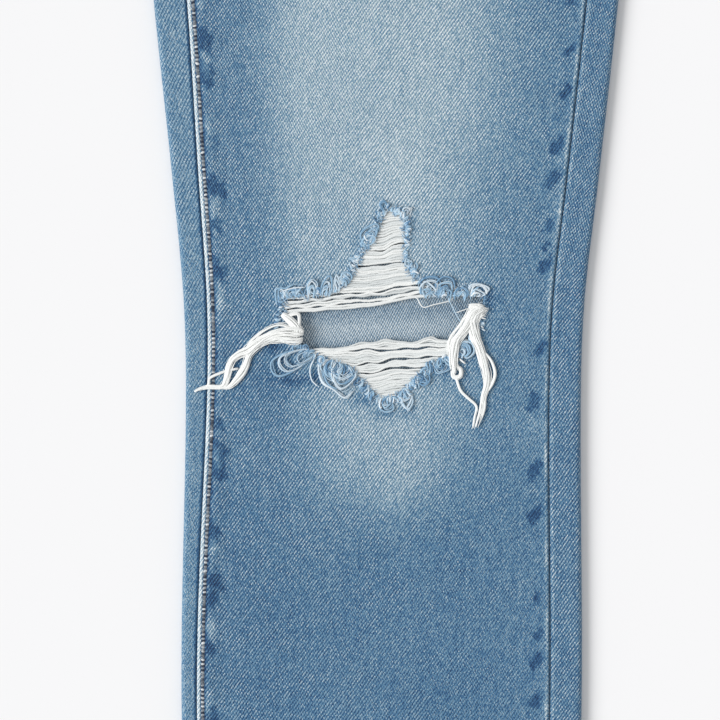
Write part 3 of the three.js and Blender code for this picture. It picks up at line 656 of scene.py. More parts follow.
def front_panel(name, side, rip):
    """A front panel with its seam ridges, puckers, creases and wear."""
    shares, offsets = across_panel(RIP_COLUMNS if rip else PLAIN_COLUMNS)
    h = up_panel(3.1 if rip else 4.2, FRONT_WAIST, 1.6 if rip else None)
    s = section(h, FRONT_LINES)
    corner = (LAST_LEG_SECTION, CROTCH_V, CROTCH_V + CROTCH_BLEND)
    left = np.where(h <= LAST_LEG_SECTION, s["inseam"] + SEAM_GAP,
                    np.interp(h, corner, (INSEAM_TOP_IN + SEAM_GAP, CROTCH_CORNER, 0)))
    right = s["width"] - s["side_seam"] - SEAM_GAP
    w = left + shares * (right - left) + offsets
    x, y = s["place"](w)
    u, v = leg_axes(x, y)
    q = w / s["width"]
    z = s["edge"] + (s["crown"] - s["edge"]) * lerp(1 - (2 * q - 1) ** 2, 1 - q * q, s["hip"])
    from_in, from_out = w - left, right - w
    phase = slow_waves(0 * u, v, 31 + side) * 2.2
    pull = np.sin(2 * math.pi * v / PUCKER + phase)
    on_leg_only = 1 - smooth(h, CROTCH_V - 30, CROTCH_V)
    ridge = smooth(from_in, 0, 0.8) * (1 - smooth(from_in, 7, 12)) * on_leg_only
    z = z + RIDGE * ridge * (1 + 0.25 * pull) - DITCH * 0.5 * (1 - smooth(from_in, 0, 0.8)) * on_leg_only
    z = z + (0.28 * pull * hill(from_in, 9, 5) - 0.4 * hill(from_in, SEWN_IN, SEWN_HALF)) * on_leg_only
    z = z - DITCH * (1 - smooth(from_out, 0, 0.75))
    z = z + 0.2 * hill(from_out, 2, 1.2)
    z = z + 0.16 * np.sin(2 * math.pi * v / SIDE_PUCKER + phase) * hill(from_out, 7, 5)
    z = z - troughs(LEG_CREASES, u, v) - troughs(HIP_CREASES, x, y) * 0.8
    z = z + 0.35 * slow_waves(u, v, 40 + side) * smooth(np.minimum(from_in, from_out), 4, 30)
    if rip:
        z = z + 0.5 * near_rip(u, v) * (0.6 + 0.4 * np.sin(u * 0.5) * np.sin(v * 0.45))
    rubbed = hill(from_in, RUBBED_IN, RUBBED_HALF)
    # Darker in the hip creases' troughs and paler on their ridges: partly the whiskers' wear, partly painted
    # shade in the troughs
    worn = BASE_SHADE + fade(u, v) + patches(u, v) * (side > 0) - 0.1 * troughs(HIP_CREASES, x, y)
    worn = worn - 0.03 * smooth(-v, 50, 110) + 0.02 * smooth(u, 40, 95) * smooth(-v, 60, 160)
    worn = worn + 0.08 * rubbed * on_leg_only
    dark = np.maximum(spots(INSEAM_HEIGHTS[side], from_in - 1.5, v) * on_leg_only,
                      spots(SIDE_HEIGHTS[side], from_out, v) * 0.85)
    # Dark along the row of sewing: partly unfaded indigo in its ditch, partly painted shade in the ditch
    dark = np.maximum(dark, hill(from_in, SEWN_IN, SEWN_HALF * 1.35) * on_leg_only)
    pale = 0.5 + 0.5 * np.sin(2 * math.pi * v / RUB_LENGTH + phase)
    bare = np.maximum.reduce([
        1.2 * rubbed * on_leg_only,
        (0.36 + 0.2 * pale) * hill(from_out, 1.7, 1.15),
        0.46 * pale * hill(from_in, 7, 4.5) * on_leg_only,
        0.22 * (1 - pale) * hill(from_out, 8, 3.5),
        0.8 * hill(v, HEM_V, 1.6),
    ])
    points = np.stack([side * x, y, z], -1)
    shades = {"worn": worn, "dark": dark, "bare": bare}
    mesh = sheet_mesh(name, points, shades, np.stack([side * u, v], -1), side < 0)
    if rip:
        cut_hole(mesh, np.array(on_leg(*RIP_EDGE.T)).T, 2)
    cut_hole(mesh, scoop_outline(side), 5)
    return mesh


# The rip: where the blue warp has worn away, from the top round to the right
RIP = ((0.4, 60.6), (5.4, 59), (11.2, 55), (11, 45), (11, 33.5), (15, 25.5), (21, 22), (32, 22), (43, 18.5),
       (51, 16), (51, 8), (48.5, -0.5), (45, -8.5), (39, -15.5), (32.5, -18), (25, -20.5), (19.5, -26),
       (12.5, -32.5), (6, -38), (-1, -39), (-8, -34), (-14, -27.5), (-19.5, -22), (-36.5, -16), (-43.5, -11),
       (-49, -4.5), (-51.5, 3.5), (-52.5, 14.5), (-47, 15.5), (-34, 16.5), (-21, 22), (-16.2, 28.5), (-13, 35),
       (-11.4, 40), (-7.4, 43), (-2.8, 52))


CURVE_STEPS = 5


def curve_through(before, start, end, beyond):
    """Smooth curve from each start to its end, bent by the places before and beyond them."""
    t = np.linspace(0, 1, CURVE_STEPS, endpoint=False)[None, :, None]
    before, start, end, beyond = (k[:, None] for k in (before, start, end, beyond))
    line = 0.5 * (2 * start + (end - before) * t + (2 * before - 5 * start + 4 * end - beyond) * t ** 2
                  + (3 * start - before - 3 * end + beyond) * t ** 3)
    return line.reshape(-1, line.shape[-1])


def closed_line(points):
    """A closed smooth line through a few points."""
    p = np.asarray(points, float)
    return curve_through(np.roll(p, 1, 0), p, np.roll(p, -1, 0), np.roll(p, -2, 0))


def smooth_line(points):
    """A smooth open line through a few points."""
    p = np.asarray(points, float)
    p = np.concatenate([[2 * p[0] - p[1]], p, [2 * p[-1] - p[-2]]])
    return np.concatenate([curve_through(p[:-3], p[1:-2], p[2:-1], p[3:]), [points[-1]]])


def direction(line):
    """Direction of a line at each of its places."""
    run = np.gradient(line, axis=0)
    return run / np.linalg.norm(run, axis=1)[:, None]


def to_the_left(run):
    """Directions in the plane, turned by a right angle."""
    return np.stack([-run[:, 1], run[:, 0]], -1)


def travelled(line):
    """Distance along a line up to each of its places, as seen from above."""
    return np.concatenate([[0], np.cumsum(np.hypot(*np.diff(line[:, :2], axis=0).T))])


RIP_EDGE = closed_line(RIP)


def near_rip(u, v):
    """How close the cloth is to the rip's edge, from 0 to 1."""
    distance = np.full(np.shape(u), 99.0)
    for a, b in RIP_EDGE[::2]:
        distance = np.minimum(distance, np.hypot(u - a, v - b))
    return hill(distance, 0, 3)


# Front pocket scoop, a quarter of an ellipse
SCOOP = (250, 250)
SCOOP_HALF = (132, 82)


def scoop_arc(grow, steps=40):
    turn = np.radians(np.linspace(180, 270, steps))
    return np.stack([SCOOP[0] + (SCOOP_HALF[0] + grow) * np.cos(turn),
                     SCOOP[1] + (SCOOP_HALF[1] + grow) * np.sin(turn)], -1)


def scoop_outline(side):
    far = [(330, SCOOP[1] - SCOOP_HALF[1]), (330, 330), (SCOOP[0] - SCOOP_HALF[0], 330)]
    return np.concatenate([scoop_arc(0), far]) * (side, 1)


# Back panels: seam strip, fold, the flat underside, the other fold and strip
STRIP_SHARE = 0.4
GROOVE_FLOOR = 0.22
# Behind the knee the cloth bows up a little towards the front
KNEE_RISE = 1.5


def fold_path(k, s, seam_in):
    """Distance from the folded edge and height along the strip (k from 0) and round the fold (to k = 1)."""
    radius = (s["edge"] - s["floor"]) / 2
    strip = np.clip(k / STRIP_SHARE, 0, 1)
    seam_in = seam_in + GROOVE_FLOOR
    turn = np.clip((k - STRIP_SHARE) / (1 - STRIP_SHARE), 0, 1) * math.pi + math.pi / 2
    w = np.where(k < STRIP_SHARE, lerp(seam_in, radius, strip), radius * (1 + np.cos(turn)))
    z = s["floor"] + radius + radius * np.sin(turn)
    ditch = DITCH * (1 - smooth(seam_in - w, 0, 0.8)) * (k < STRIP_SHARE)
    return w, z - ditch, seam_in - w


FOLD_K = np.concatenate([[0, 0.012, 0.03, 0.055, 0.09, 0.15, 0.22, 0.3], np.linspace(STRIP_SHARE, 1, 10)])
UNDER_K = np.linspace(0, 1, 46)[1:-1]
FLAT_START = 10


def back_panel(name, side, lines, h, creases):
    """A back panel or yoke with its strips on the face, its folds and its underside."""
    s = section(h, lines)
    k = FOLD_K[None, :]
    w_leg, z_leg, in_leg = fold_path(k, s, s["inseam"])
    in_leg = lerp(in_leg, 99, smooth(h, LAST_LEG_SECTION, CROTCH_V))
    w_out, z_out, in_out = fold_path(k[:, ::-1], s, s["side_seam"])
    crotch_top = s["edge"] - CLOTH - CROTCH_DROP
    corner = (LAST_LEG_SECTION, CROTCH_V, CROTCH_V + CROTCH_BLEND)
    to_crotch = np.interp(h, corner[:2], (0, 1))
    to_hip = np.interp(h, corner[1:], (0, 1))
    w_in = lerp(lerp(w_leg, 0 * k, to_crotch), FLAT_START * k, to_hip)
    z_in = lerp(lerp(z_leg, lerp(crotch_top, s["floor"], k), to_crotch), s["floor"] + 0 * k, to_hip)
    w_end, w_start = s["width"] - w_out[:, :1], w_in[:, -1:]
    under = lerp(w_start, w_end, UNDER_K[None, :])
    w = np.concatenate([w_in, under, s["width"] - w_out], 1)
    z = np.concatenate([z_in, s["floor"] + 0 * under, z_out], 1)
    x, y = s["place"](w)
    arc = np.cumsum(np.hypot(np.diff(w, axis=1, prepend=w[:, :1]), np.diff(z, axis=1, prepend=z[:, :1])), 1)
    middle = arc.shape[1] // 2
    u, v = leg_axes(x, y)
    strip_in = np.concatenate([in_leg, 99 + 0 * under, in_out], 1)
    below = smooth(strip_in, 14, 30)
    waves = np.maximum(0, slow_waves(u, v, 60 + side))
    z = z + np.maximum(0, troughs(creases, u, v)) * below + 0.3 * waves * below
    z = z + KNEE_RISE * hill(u, 0, 68) * hill(v, 2, 60) * below
    worn = BASE_SHADE - 0.01 + 0.10 * hill(u, -4, 52) * smooth(v, -60, 60)
    # Darker in the back creases' troughs and paler on their ridges: partly the cloth's wear, partly painted
    # shade in the troughs
    worn = worn + 0.05 * hill(v, 470, 90) * hill(u, -20, 90) - 0.16 * troughs(creases, u, v) * below
    on_face = 1 - smooth(strip_in, 18, 24)
    outer = np.concatenate([0 * k, 0 * UNDER_K[None, :], 1 + 0 * k], 1)
    worn = lerp(worn, BASE_SHADE + 0.04 - 0.06 * outer, on_face)
    bare = 0.45 * hill(strip_in, 1.6, 1.1) * outer + 0.8 * hill(v, HEM_V, 1.6)
    # Dark at the strip's edge beside the inseam: unfaded indigo in the seam's ditch, and painted shade in that
    # ditch
    dark = 1.1 * hill(strip_in, 0.4, 1.1) * (1 - outer)
    uv = np.stack([-side * (arc - arc[:, middle:middle + 1]), v], -1)
    points = np.stack([side * x, y, z], -1)
    return sheet_mesh(name, points, {"worn": worn, "dark": dark, "bare": bare}, uv, side > 0)


INSEAM_HEIGHTS = {1: with_more_spots(INSEAM_SPOTS), -1: with_more_spots(RIGHT_INSEAM_SPOTS)}
SIDE_HEIGHTS = {1: with_more_spots(SIDE_SPOTS), -1: with_more_spots(RIGHT_SIDE_SPOTS)}
BACK_UP = up_panel(4.4, YOKE_AT_BACK)
YOKE_UP = (CROTCH_V + np.linspace(YOKE_AT_BACK + SEAM_GAP, BACK_WAIST, 18))[:, None]
cloth = {}
for word, side in (("left", 1), ("right", -1)):
    for part, mesh in (
        ("front", front_panel(f"front_{word}_cloth", side, side > 0)),
        ("back", back_panel(f"back_{word}_cloth", side, BACK_LINES, BACK_UP, BACK_CREASES)),
        ("yoke", back_panel(f"yoke_{word}_cloth", side, YOKE_LINES, YOKE_UP, ())),
    ):
        cloth[f"{part}_{word}"] = cloth_piece(mesh, f"{part}_{word}")


# Threads, in one mesh for each kind
def add_strand(made, line, radius, shade, sides=5):
    """Adds a round thread along a line of garment places to a mesh in the making; its ends run to a point."""
    run = direction(line)
    beside = np.cross(run, (0, 0, 1))
    beside[np.linalg.norm(beside, axis=1) < 0.05] = (1, 0, 0)
    beside /= np.linalg.norm(beside, axis=1)[:, None]
    rise = np.cross(beside, run)
    turn = np.arange(sides) * 2 * math.pi / sides
    size = radius * np.minimum(1, 0.45 + np.minimum(np.arange(len(line)), np.arange(len(line))[::-1]) * 0.4)
    ring = np.cos(turn)[None, :, None] * beside[:, None] + np.sin(turn)[None, :, None] * rise[:, None]
    rings = line[:, None] + ring * size[:, None, None]
    first = made["count"]
    last = first + len(line) * sides
    made["points"].append(rings.reshape(-1, 3))
    made["points"].append(np.array([line[0] - run[0] * radius * 0.4, line[-1] + run[-1] * radius * 0.4]))
    made["shades"].append(np.full(len(line) * sides + 2, shade))
    made["count"] = last + 2
    a = first + np.arange((len(line) - 1) * sides)
    b = a + 1 - sides * (np.arange(len(a)) % sides == sides - 1)
    made["quads"].append(np.stack([a, a + sides, b + sides, b], -1))
    a = first + np.arange(sides)
    b = first + (np.arange(sides) + 1) % sides
    made["fans"].append(np.stack([a, b, np.full(sides, last)], -1))
    far = (len(line) - 1) * sides
    made["fans"].append(np.stack([b + far, a + far, np.full(sides, last + 1)], -1))


def new_threads():
    return {"points": [], "shades": [], "quads": [], "fans": [], "count": 0}


threads = {}


def thread_mesh(name, points, faces, shades):
    """Threads as one mesh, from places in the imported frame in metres."""
    mesh = bpy.data.meshes.new(name)
    mesh.from_pydata(points.tolist(), [], faces)
    set_values(mesh, "shade", np.concatenate(shades))
    mesh.update()
    return mesh


def thread_piece(name, made, finish, node):
    """The threads made so far as one piece, in place of their solid."""
    faces = np.concatenate(made["quads"]).tolist() + np.concatenate(made["fans"]).tolist()
    mesh = thread_mesh(name, in_frame(np.concatenate(made["points"])), faces, made["shades"])
    threads[name] = add_piece(mesh, (finish,), node)


def leg_face(u, v):
    """Height of the front's face on the leg."""
    left, right = along(INNER_EDGE, v), along(OUTER_EDGE, v)
    q = (u - left) / (right - left)
    return LEG_EDGE_TOP + (LEG_CROWN - LEG_EDGE_TOP) * (1 - (2 * q - 1) ** 2)


def leg_line(u, v, above):
    """Garment places of a line on the leg, given as height above the front's face."""
    x, y = on_leg(u, v)
    return np.stack([x, y, leg_face(u, v) + above], -1)


# White weft: cords that run across the rip in bundles, with dark gaps between the bundles.
# Each edge of a bundle is a line of (u, v) places.
TOP = ((-60, 61), (60, 61.8))
EYE_HIGH = ((-12, 38.6), (-0.4, 38.6), (4.4, 41.6), (9, 42.6))
EYE_LOW = ((-14, 30.4), (-0.4, 31.4), (9, 32.8))
UPPER_GAP = ((-52, 12.6), (-31, 14.6), (-23.5, 16.1), (-14.7, 16.7), (-8.4, 17.1), (-3.6, 16.9), (1.2, 18.4),
             (6.8, 19.6), (13.5, 20.4), (30, 21))
BAND_HIGH = ((-52, 10.2), (-39.4, 11.7), (-19.5, 13.6), (-6.8, 14.2), (0, 14.8), (14.7, 17.6), (30, 19))
BAND_LOW = ((-52, 8), (-46.5, 8.7), (-33, 9.6), (-14.7, 11.2), (0, 12.4), (14.7, 15.6), (30, 18))
SLIT_TOP = ((-56, 5.4), (-44.6, 6.3), (-31, 7.4), (-19.5, 8.5), (0.4, 10.5), (8.4, 12.5), (17.1, 13.9),
            (30, 15))
SLIT_FOOT = ((-60, -11.8), (-43.4, -11.8), (-31.4, -11.8), (-19.5, -11), (-11.5, -9), (-3.6, -8.2),
             (1.2, -6.8), (9.2, -7.8), (16.3, -8.2), (21.9, -6), (25.1, -5.2), (28.2, -7), (33.8, -7.4),
             (60, -7.4))
FOOT_HIGH = ((-50, -14.8), (-30.6, -14.5), (-19.5, -13.7), (-9.9, -12.6), (1.2, -13.2), (12.3, -12.2),
             (40, -11.2))
FOOT_GAP = ((-40, -19.6), (-16.3, -20.9), (-8.4, -19.8), (-2, -19.4), (5.2, -17.8), (15.1, -17.6),
            (23.5, -16.8), (40, -16))
FOOT_LOW = ((-20, -25.2), (-3.6, -24.6), (4.4, -22.3), (19.5, -22.5), (30, -22))
FOOT_EYE = ((-14, -33.6), (-3.6, -34), (5.2, -32), (20, -31.4))
BOTTOM = ((-60, -40.6), (60, -40.6))
WEFT_RADIUS = 0.62
SECOND_LAYER = 0.62
# Lower edge, upper edge, number of threads, dark gap above and below each bundle
UPPER_BUNDLES = ((SLIT_TOP, BAND_LOW, 2, 0.1), (BAND_LOW, BAND_HIGH, 2, 0.5), (BAND_HIGH, UPPER_GAP, 2, 0.7),
                 (UPPER_GAP, EYE_LOW, 12, 0.55), (EYE_LOW, EYE_HIGH, 7, 0.25), (EYE_HIGH, TOP, 16, 0.2))
LOWER_BUNDLES = ((FOOT_HIGH, SLIT_FOOT, 4, 0.4), (FOOT_GAP, FOOT_HIGH, 5, 0.6), (FOOT_LOW, FOOT_GAP, 4, 0.6),
                 (FOOT_EYE, FOOT_LOW, 8, 0.35), (BOTTOM, FOOT_EYE, 6, 0.2))


def ragged(u, seed):
    """Uneven width of a gap along its length, round 1."""
    slow = 0.9 * np.sin(u / 4.3 + seed) * np.sin(u / 7 + 2 * seed)
    return np.clip(0.9 + slow + 0.8 * np.sin(u / 1.7 + 3 * seed), -0.6, 2.4)


def weft_bundle(made, low, high, count, gap):
    """Threads side by side between two lines, over a second layer, from edge to edge of the rip."""
    u = np.arange(-62, 62.1, 1.2)
    seeds = rng.uniform(0, 9, 2)
    places = [(i / max(count - 1, 1), 0) for i in range(count)]
    places += [((i + 0.5) / max(count - 1, 1), SECOND_LAYER) for i in range(count - 1)]
    for share, lower in places:
        phase = rng.uniform(0, 2 * math.pi, 3)
        bottom = along(low, u) + gap / 2 * ragged(u, seeds[0]) + WEFT_RADIUS
        top = along(high, u) - gap / 2 * ragged(u, seeds[1]) - WEFT_RADIUS
        v = lerp(bottom, top, share)
        v = v + 0.14 * np.sin(u / 5.1 + phase[0]) + 0.18 * np.sin(u / 11 + phase[1])
        v = v + 0.12 * np.sin(u / 2.3 + phase[2]) + rng.normal(0, 0.06, len(u))
        within = np.flatnonzero(inside(RIP_EDGE, u, v))
        if len(within) < 2:
            continue
        reach = slice(max(0, within[0] - 2), within[-1] + 3)
        ends = np.minimum(u - u[reach][0], u[reach][-1] - u)[reach]
        sag = rng.uniform(0.05, 0.3) * smooth(ends, 4, 22)
        above = -0.55 - lower - 0.75 * (1 - smooth(ends, 0.5, 3)) - sag
        # Threads of the second layer lie lower and get a darker shade: painted shade under the upper layer
        add_strand(made, leg_line(u[reach], v[reach], above), WEFT_RADIUS * rng.uniform(0.88, 1.08),
                   rng.uniform(0.4, 0.84) - 0.2 * lower)


TUFT_SHADES = (0.78, 0.98)


def bundle(made, route, count, stray, radius=0.52, level=0.6):
    """Filaments that run together along a route of (u, v, half width) and cross over each other."""
    line = smooth_line(route)
    beside = to_the_left(direction(line[:, :2]))
    travel = travelled(line)
    for i in range(count):
        swing = rng.uniform(0.04, 0.11)
        phase = rng.uniform(0, 2 * math.pi)
        where = lerp(-1, 1, (i + 0.5) / count)
        offset = np.clip(where + 0.35 * np.sin(travel * swing * 2 + phase), -1, 1) * line[:, 2]
        roll = 0.6 + 0.4 * np.cos(travel * swing + phase)
        height = level + radius + line[:, 2] * 0.45 * (1 - where ** 2) * roll
        end = len(line) - int(rng.uniform(0, 1) * stray * len(line))
        u, v = (line[:, :2] + beside * offset[:, None])[:end].T
        thickness = radius * rng.uniform(0.85, 1.15)
        add_strand(made, leg_line(u, v, height[:end]), thickness, rng.uniform(*TUFT_SHADES))


# Routes of (u, v, half width), with the number of filaments and how far short they may stop
LEFT_TUFT = (
    (((-42, -5.5, 2.6), (-46, -5, 4.2), (-54.5, -3.8, 3.8), (-61.4, -5.9, 2.9), (-66.5, -9.4, 2.5),
      (-70.7, -13.4, 2.2), (-74.9, -15, 1.6), (-78.6, -17.8, 1.4), (-80.5, -21.7, 1.4), (-81.4, -26.4, 1.2),
      (-82.6, -30.6, 1), (-85, -32.3, 0.7), (-91.6, -32.2, 0.7), (-95.8, -33.3, 0.5), (-98.6, -34.7, 0.3)),
     8, 0.35),
    (((-44, -7, 2), (-54.5, -5.5, 3), (-61.4, -7.5, 2.4), (-66.5, -11, 2), (-70.3, -15.7, 1.5),
      (-72.1, -21.3, 1.4), (-74, -25, 1.5), (-76.8, -28.7, 1.3), (-80, -31.9, 0.8), (-84, -32.5, 0.5),
      (-90, -31.8, 0.4)), 7, 0.3),
    (((-75.8, -22.7, 0.5), (-82.3, -24.1, 0.4), (-90.2, -27.3, 0.3), (-91.2, -30.6, 0.3),
      (-92.1, -32.4, 0.3)), 2, 0),
    (((-50, 5, 0.6), (-44.6, 5.8, 0.6), (-44, 0, 0.4), (-44.8, -4, 0.5)), 2, 0),
    (((-53, 5.6, 0.8), (-50, 3.5, 1.4), (-46.6, 0, 1.6), (-45.4, -3, 2), (-47, -6, 2)), 6, 0),
)
RIGHT_TUFT = (
    (((52, 8.6, 2.6), (47, 6, 3), (44.8, 3.3, 2.6), (40.3, -3.2, 2.5), (36.9, -7.7, 2.6), (35.9, -12.6, 2.6),
      (36.1, -19.1, 2.2), (37.3, -25.1, 2.2)), 9, 0.12),
    (((50, 9, 2.4), (47, 4.5, 2.6), (45.8, 0.8, 2.6), (47.3, -6.7, 2.2), (49.8, -12.6, 1.8),
      (51.8, -19.6, 1.8), (53.4, -25.6, 1.8), (53.5, -31.5, 1.3), (51.8, -37.5, 1), (51.3, -42.5, 1.1),
      (50, -48, 1), (47.8, -54.6, 0.7)), 9, 0.25),
    (((51.8, -13.6, 0.4), (55.8, -18.6, 0.4), (57.7, -24.6, 0.4), (56.7, -29.5, 0.4), (53.8, -34.5, 0.4)),
     2, 0),
    (((37.6, -27, 0.3), (37.8, -28.5, 0.3), (39.8, -34, 0.3), (43.8, -38, 0.3), (47.3, -41, 0.3),
      (48.3, -43.5, 0.3), (47.3, -47.9, 0.3), (46.3, -53.4, 0.3)), 2, 0),
    (((39.3, -17.6, 0.2), (42.3, -20.1, 0.2)), 1, 0),
    (((35.4, -23.6, 0.6), (36.4, -27, 0.7), (39.6, -26.6, 0.7), (39.8, -23, 0.6), (37, -21.6, 0.5)), 3, 0),
    (((44, 9.6, 1), (48, 9.4, 1.4), (54, 7.4, 1.4)), 5, 0.3),
    (((43.6, 6.6, 0.8), (48, 5.4, 1), (53, 3.6, 1)), 4, 0.3),
)
# Single threads left over the slit
LOOSE_WHITE = (((16, 14.6), (17.6, 13.4), (20.3, 9.3), (26, 10.6), (33.8, 12.5), (36, 14.4)),
               ((37.3, 6.3), (41, 7.6), (44.6, 8.9)))
LOOSE_BLUE = (((33.4, 15.4), (34, 12.6), (35.4, 9.8), (38.8, 3.3), (40.6, 0.6)),)


def weft_and_tufts():
    upper, lower = new_threads(), new_threads()
    for spec in UPPER_BUNDLES:
        weft_bundle(upper, *spec)
    for spec in LOWER_BUNDLES:
        weft_bundle(lower, *spec)
    for points in LOOSE_WHITE:
        u, v = smooth_line(points).T
        add_strand(upper, leg_line(u, v, -0.3), 0.34, 0.75)
    thread_piece("weft_upper_threads", upper, WHITE, "weft_upper")
    thread_piece("weft_lower_threads", lower, WHITE, "weft_lower")
    for name, routes in (("left", LEFT_TUFT), ("right", RIGHT_TUFT)):
        made = new_threads()
        for route, count, stray in routes:
            bundle(made, route, count, stray)
            loose = [(u, v, half * 1.25 + 0.15) for u, v, half in route]
            bundle(made, loose, count * 2, max(stray, 0.3), radius=0.2, level=0.75)
        thread_piece(f"tuft_{name}_threads", made, WHITE, f"tuft_{name}")


# Blue warp ends: from place, to place, number, heading, spread of heading, length, width, shade, rise
HIGH_LEFT_FRAYS = (
    ((-54, 14), (-24, 18), 66, 100, 45, 4.6, 2.6, 0.6, 1),
    ((-22, 20.5), (-14, 33), 75, 150, 40, 3.2, 1.8, 0.76, 0.8),
    ((-13.5, 34), (-11.6, 40), 26, 180, 40, 2.4, 1.2, 0.76, 0.6),
    ((-9, 43), (-2.4, 54), 40, 140, 40, 3.4, 2, 0.66, 0.8),
    ((-55, 0), (-52.5, 14), 48, 190, 40, 3, 1.5, 0.5, 0.8),
)
HIGH_RIGHT_FRAYS = (
    ((-2.4, 55), (1.5, 61), 26, 130, 45, 3.4, 2, 0.62, 1),
    ((2, 60.6), (12, 54.6), 40, 60, 50, 3.8, 2.2, 0.6, 1),
    ((11.4, 54), (10.8, 33), 75, 10, 45, 2.4, 1.6, 0.55, 0.8),
    ((11, 33), (17, 22.5), 57, 25, 40, 3.6, 2, 0.58, 0.8), ((19, 16), (50, 15), 79, 88, 45, 5, 3, 0.5, 1.4),
    ((51, 14), (50, -4), 24, -10, 50, 2.8, 1.6, 0.6, 0.8),
)
LOW_LEFT_FRAYS = (
    ((-49, -6), (-36, -15), 48, 225, 35, 4.4, 2.6, 0.5, 1),
    ((-34, -16), (-18, -22), 53, 262, 35, 7, 4, 0.5, 1.6),
    ((-19, -22), (-4, -37), 88, 232, 40, 4.2, 2.4, 0.45, 1),
)
LOW_RIGHT_FRAYS = (
    ((-4, -38), (9, -37), 57, 272, 45, 4.6, 2.2, 0.74, 1),
    ((8, -36), (24, -20), 97, 312, 45, 4.4, 2.4, 0.45, 1),
    ((22, -19.5), (38, -15), 53, 285, 45, 4, 2.4, 0.45, 1),
    ((38, -15), (48, -2), 35, 320, 45, 3.4, 2, 0.55, 1),
)
# Parts of the rip's edge, as shares of the way round from the top
FUZZ_SHARES = {"high_left": (0.74, 1.0), "high_right": (0.0, 0.28),
               "low_left": (0.54, 0.74), "low_right": (0.28, 0.54)}
FUZZ_COUNT = 320
LONE_LOOPS = (((-36.2, -17.3), (-38.4, -22.9), (-37.6, -28.5), (-34.6, -31.7)),
              ((-25, -19.6), (-27.2, -24), (-26.4, -29), (-23, -31.4)),
              ((-53, 17.6), (-47, 19.2), (-41, 19.6)))
# Smallest and largest radius of a whole yarn and of its parts
YARN = (0.36, 0.52)
FILAMENT = (0.16, 0.26)
FRAY_LIFT = 0.06
FUZZ_ROOM = 0.55
# Large loops placed one by one: places from root to root, number inside each other, shade, height of the bow
LARGE_LOOPS = {
    "high_left": (
        (((-39.4, 14.5), (-40.2, 21), (-37.4, 24), (-34.6, 21.7), (-35.4, 15)), 4, 0.72, 1.8),
        (((-33, 15.4), (-31.8, 22), (-28.2, 24.4), (-27.5, 19.3), (-29, 15)), 4, 0.66, 1.8),
        (((-27.5, 16.4), (-25.9, 22), (-24.3, 25.6), (-23, 21), (-24, 16.9)), 3, 0.76, 1.6),
        (((-23.5, 19.5), (-21.9, 25.6), (-18.7, 28), (-16.3, 25), (-18.6, 21)), 4, 0.62, 1.6),
        (((-55.3, 9.7), (-56.3, 15), (-55.3, 19.4), (-51, 19.8), (-46, 20.6), (-41, 20.2)), 3, 0.6, 1),
        (((-52.9, 13.5), (-50, 18), (-45, 18.9), (-41, 14.6)), 4, 0.5, 1.2),
        (((-10.4, 39.5), (-12.3, 45), (-9.4, 50), (-4.4, 53.5), (-2.6, 51), (-5.2, 45.5), (-8.2, 42)),
         4, 0.55, 1.2),
    ),
    "high_right": (
        (((19.1, 13.8), (18.3, 20.9), (22.7, 24.8), (27.4, 24), (29, 19.3), (26.3, 14)), 5, 0.6, 2),
        (((27.4, 14), (27.1, 20.9), (30.6, 24.8), (35, 24), (36.4, 19.3), (34.6, 12.9)), 5, 0.55, 2),
        (((37, 14), (37.4, 18.5), (40.2, 20), (43.6, 17.2), (42.6, 12.9)), 4, 0.5, 1.6),
        (((44.2, 15), (46, 20.1), (51, 21), (54.9, 18), (51.6, 14.6)), 4, 0.92, 2),
        (((-0.5, 59), (-2.6, 63), (0, 65), (2, 61.6)), 2, 0.45, 1),
        (((8.4, 57), (10.4, 61), (13.6, 60.6), (12.4, 55.4)), 3, 0.8, 1.4),
    ),
    "low_left": (
        (((-36.2, -13.6), (-43.4, -12.4), (-52.1, -14.1), (-58.1, -18.1), (-57.7, -23.7), (-53.7, -26.1),
          (-45.8, -22.9), (-36.6, -16.6)), 5, 0.62, 2.2),
        (((-33, -16), (-33.4, -23.7), (-30.6, -30.9), (-25.1, -34.8), (-19.5, -37.2), (-13.5, -31)),
         4, 0.68, 1.8),
        (((-25.9, -19), (-27, -27.7), (-24.3, -32.4), (-19.5, -32), (-14.7, -27.4), (-16.3, -23)),
         3, 0.88, 2.2),
        (((-30, -17), (-31.6, -22), (-29.6, -26.6), (-24, -28), (-20.6, -22)), 4, 0.45, 1.6),
    ),
    "low_right": (
        (((-1.4, -38), (-1.6, -42.6), (1.2, -46), (4.4, -43.4), (4, -38)), 4, 0.7, 1.2),
        (((7.6, -36), (8.4, -41), (12, -43.6), (15, -40), (12.6, -33)), 4, 0.75, 1.2),
        (((39, -13), (41, -9), (45, -9.6), (46, -14.1), (42.6, -17.3), (39.8, -15)), 4, 0.72, 1.6),
        (((16, -29), (20, -32), (24, -29), (22, -24)), 4, 0.4, 1.2),
        (((24, -20), (28, -24.6), (33, -22), (31, -18)), 4, 0.42, 1.2),
    ),
}


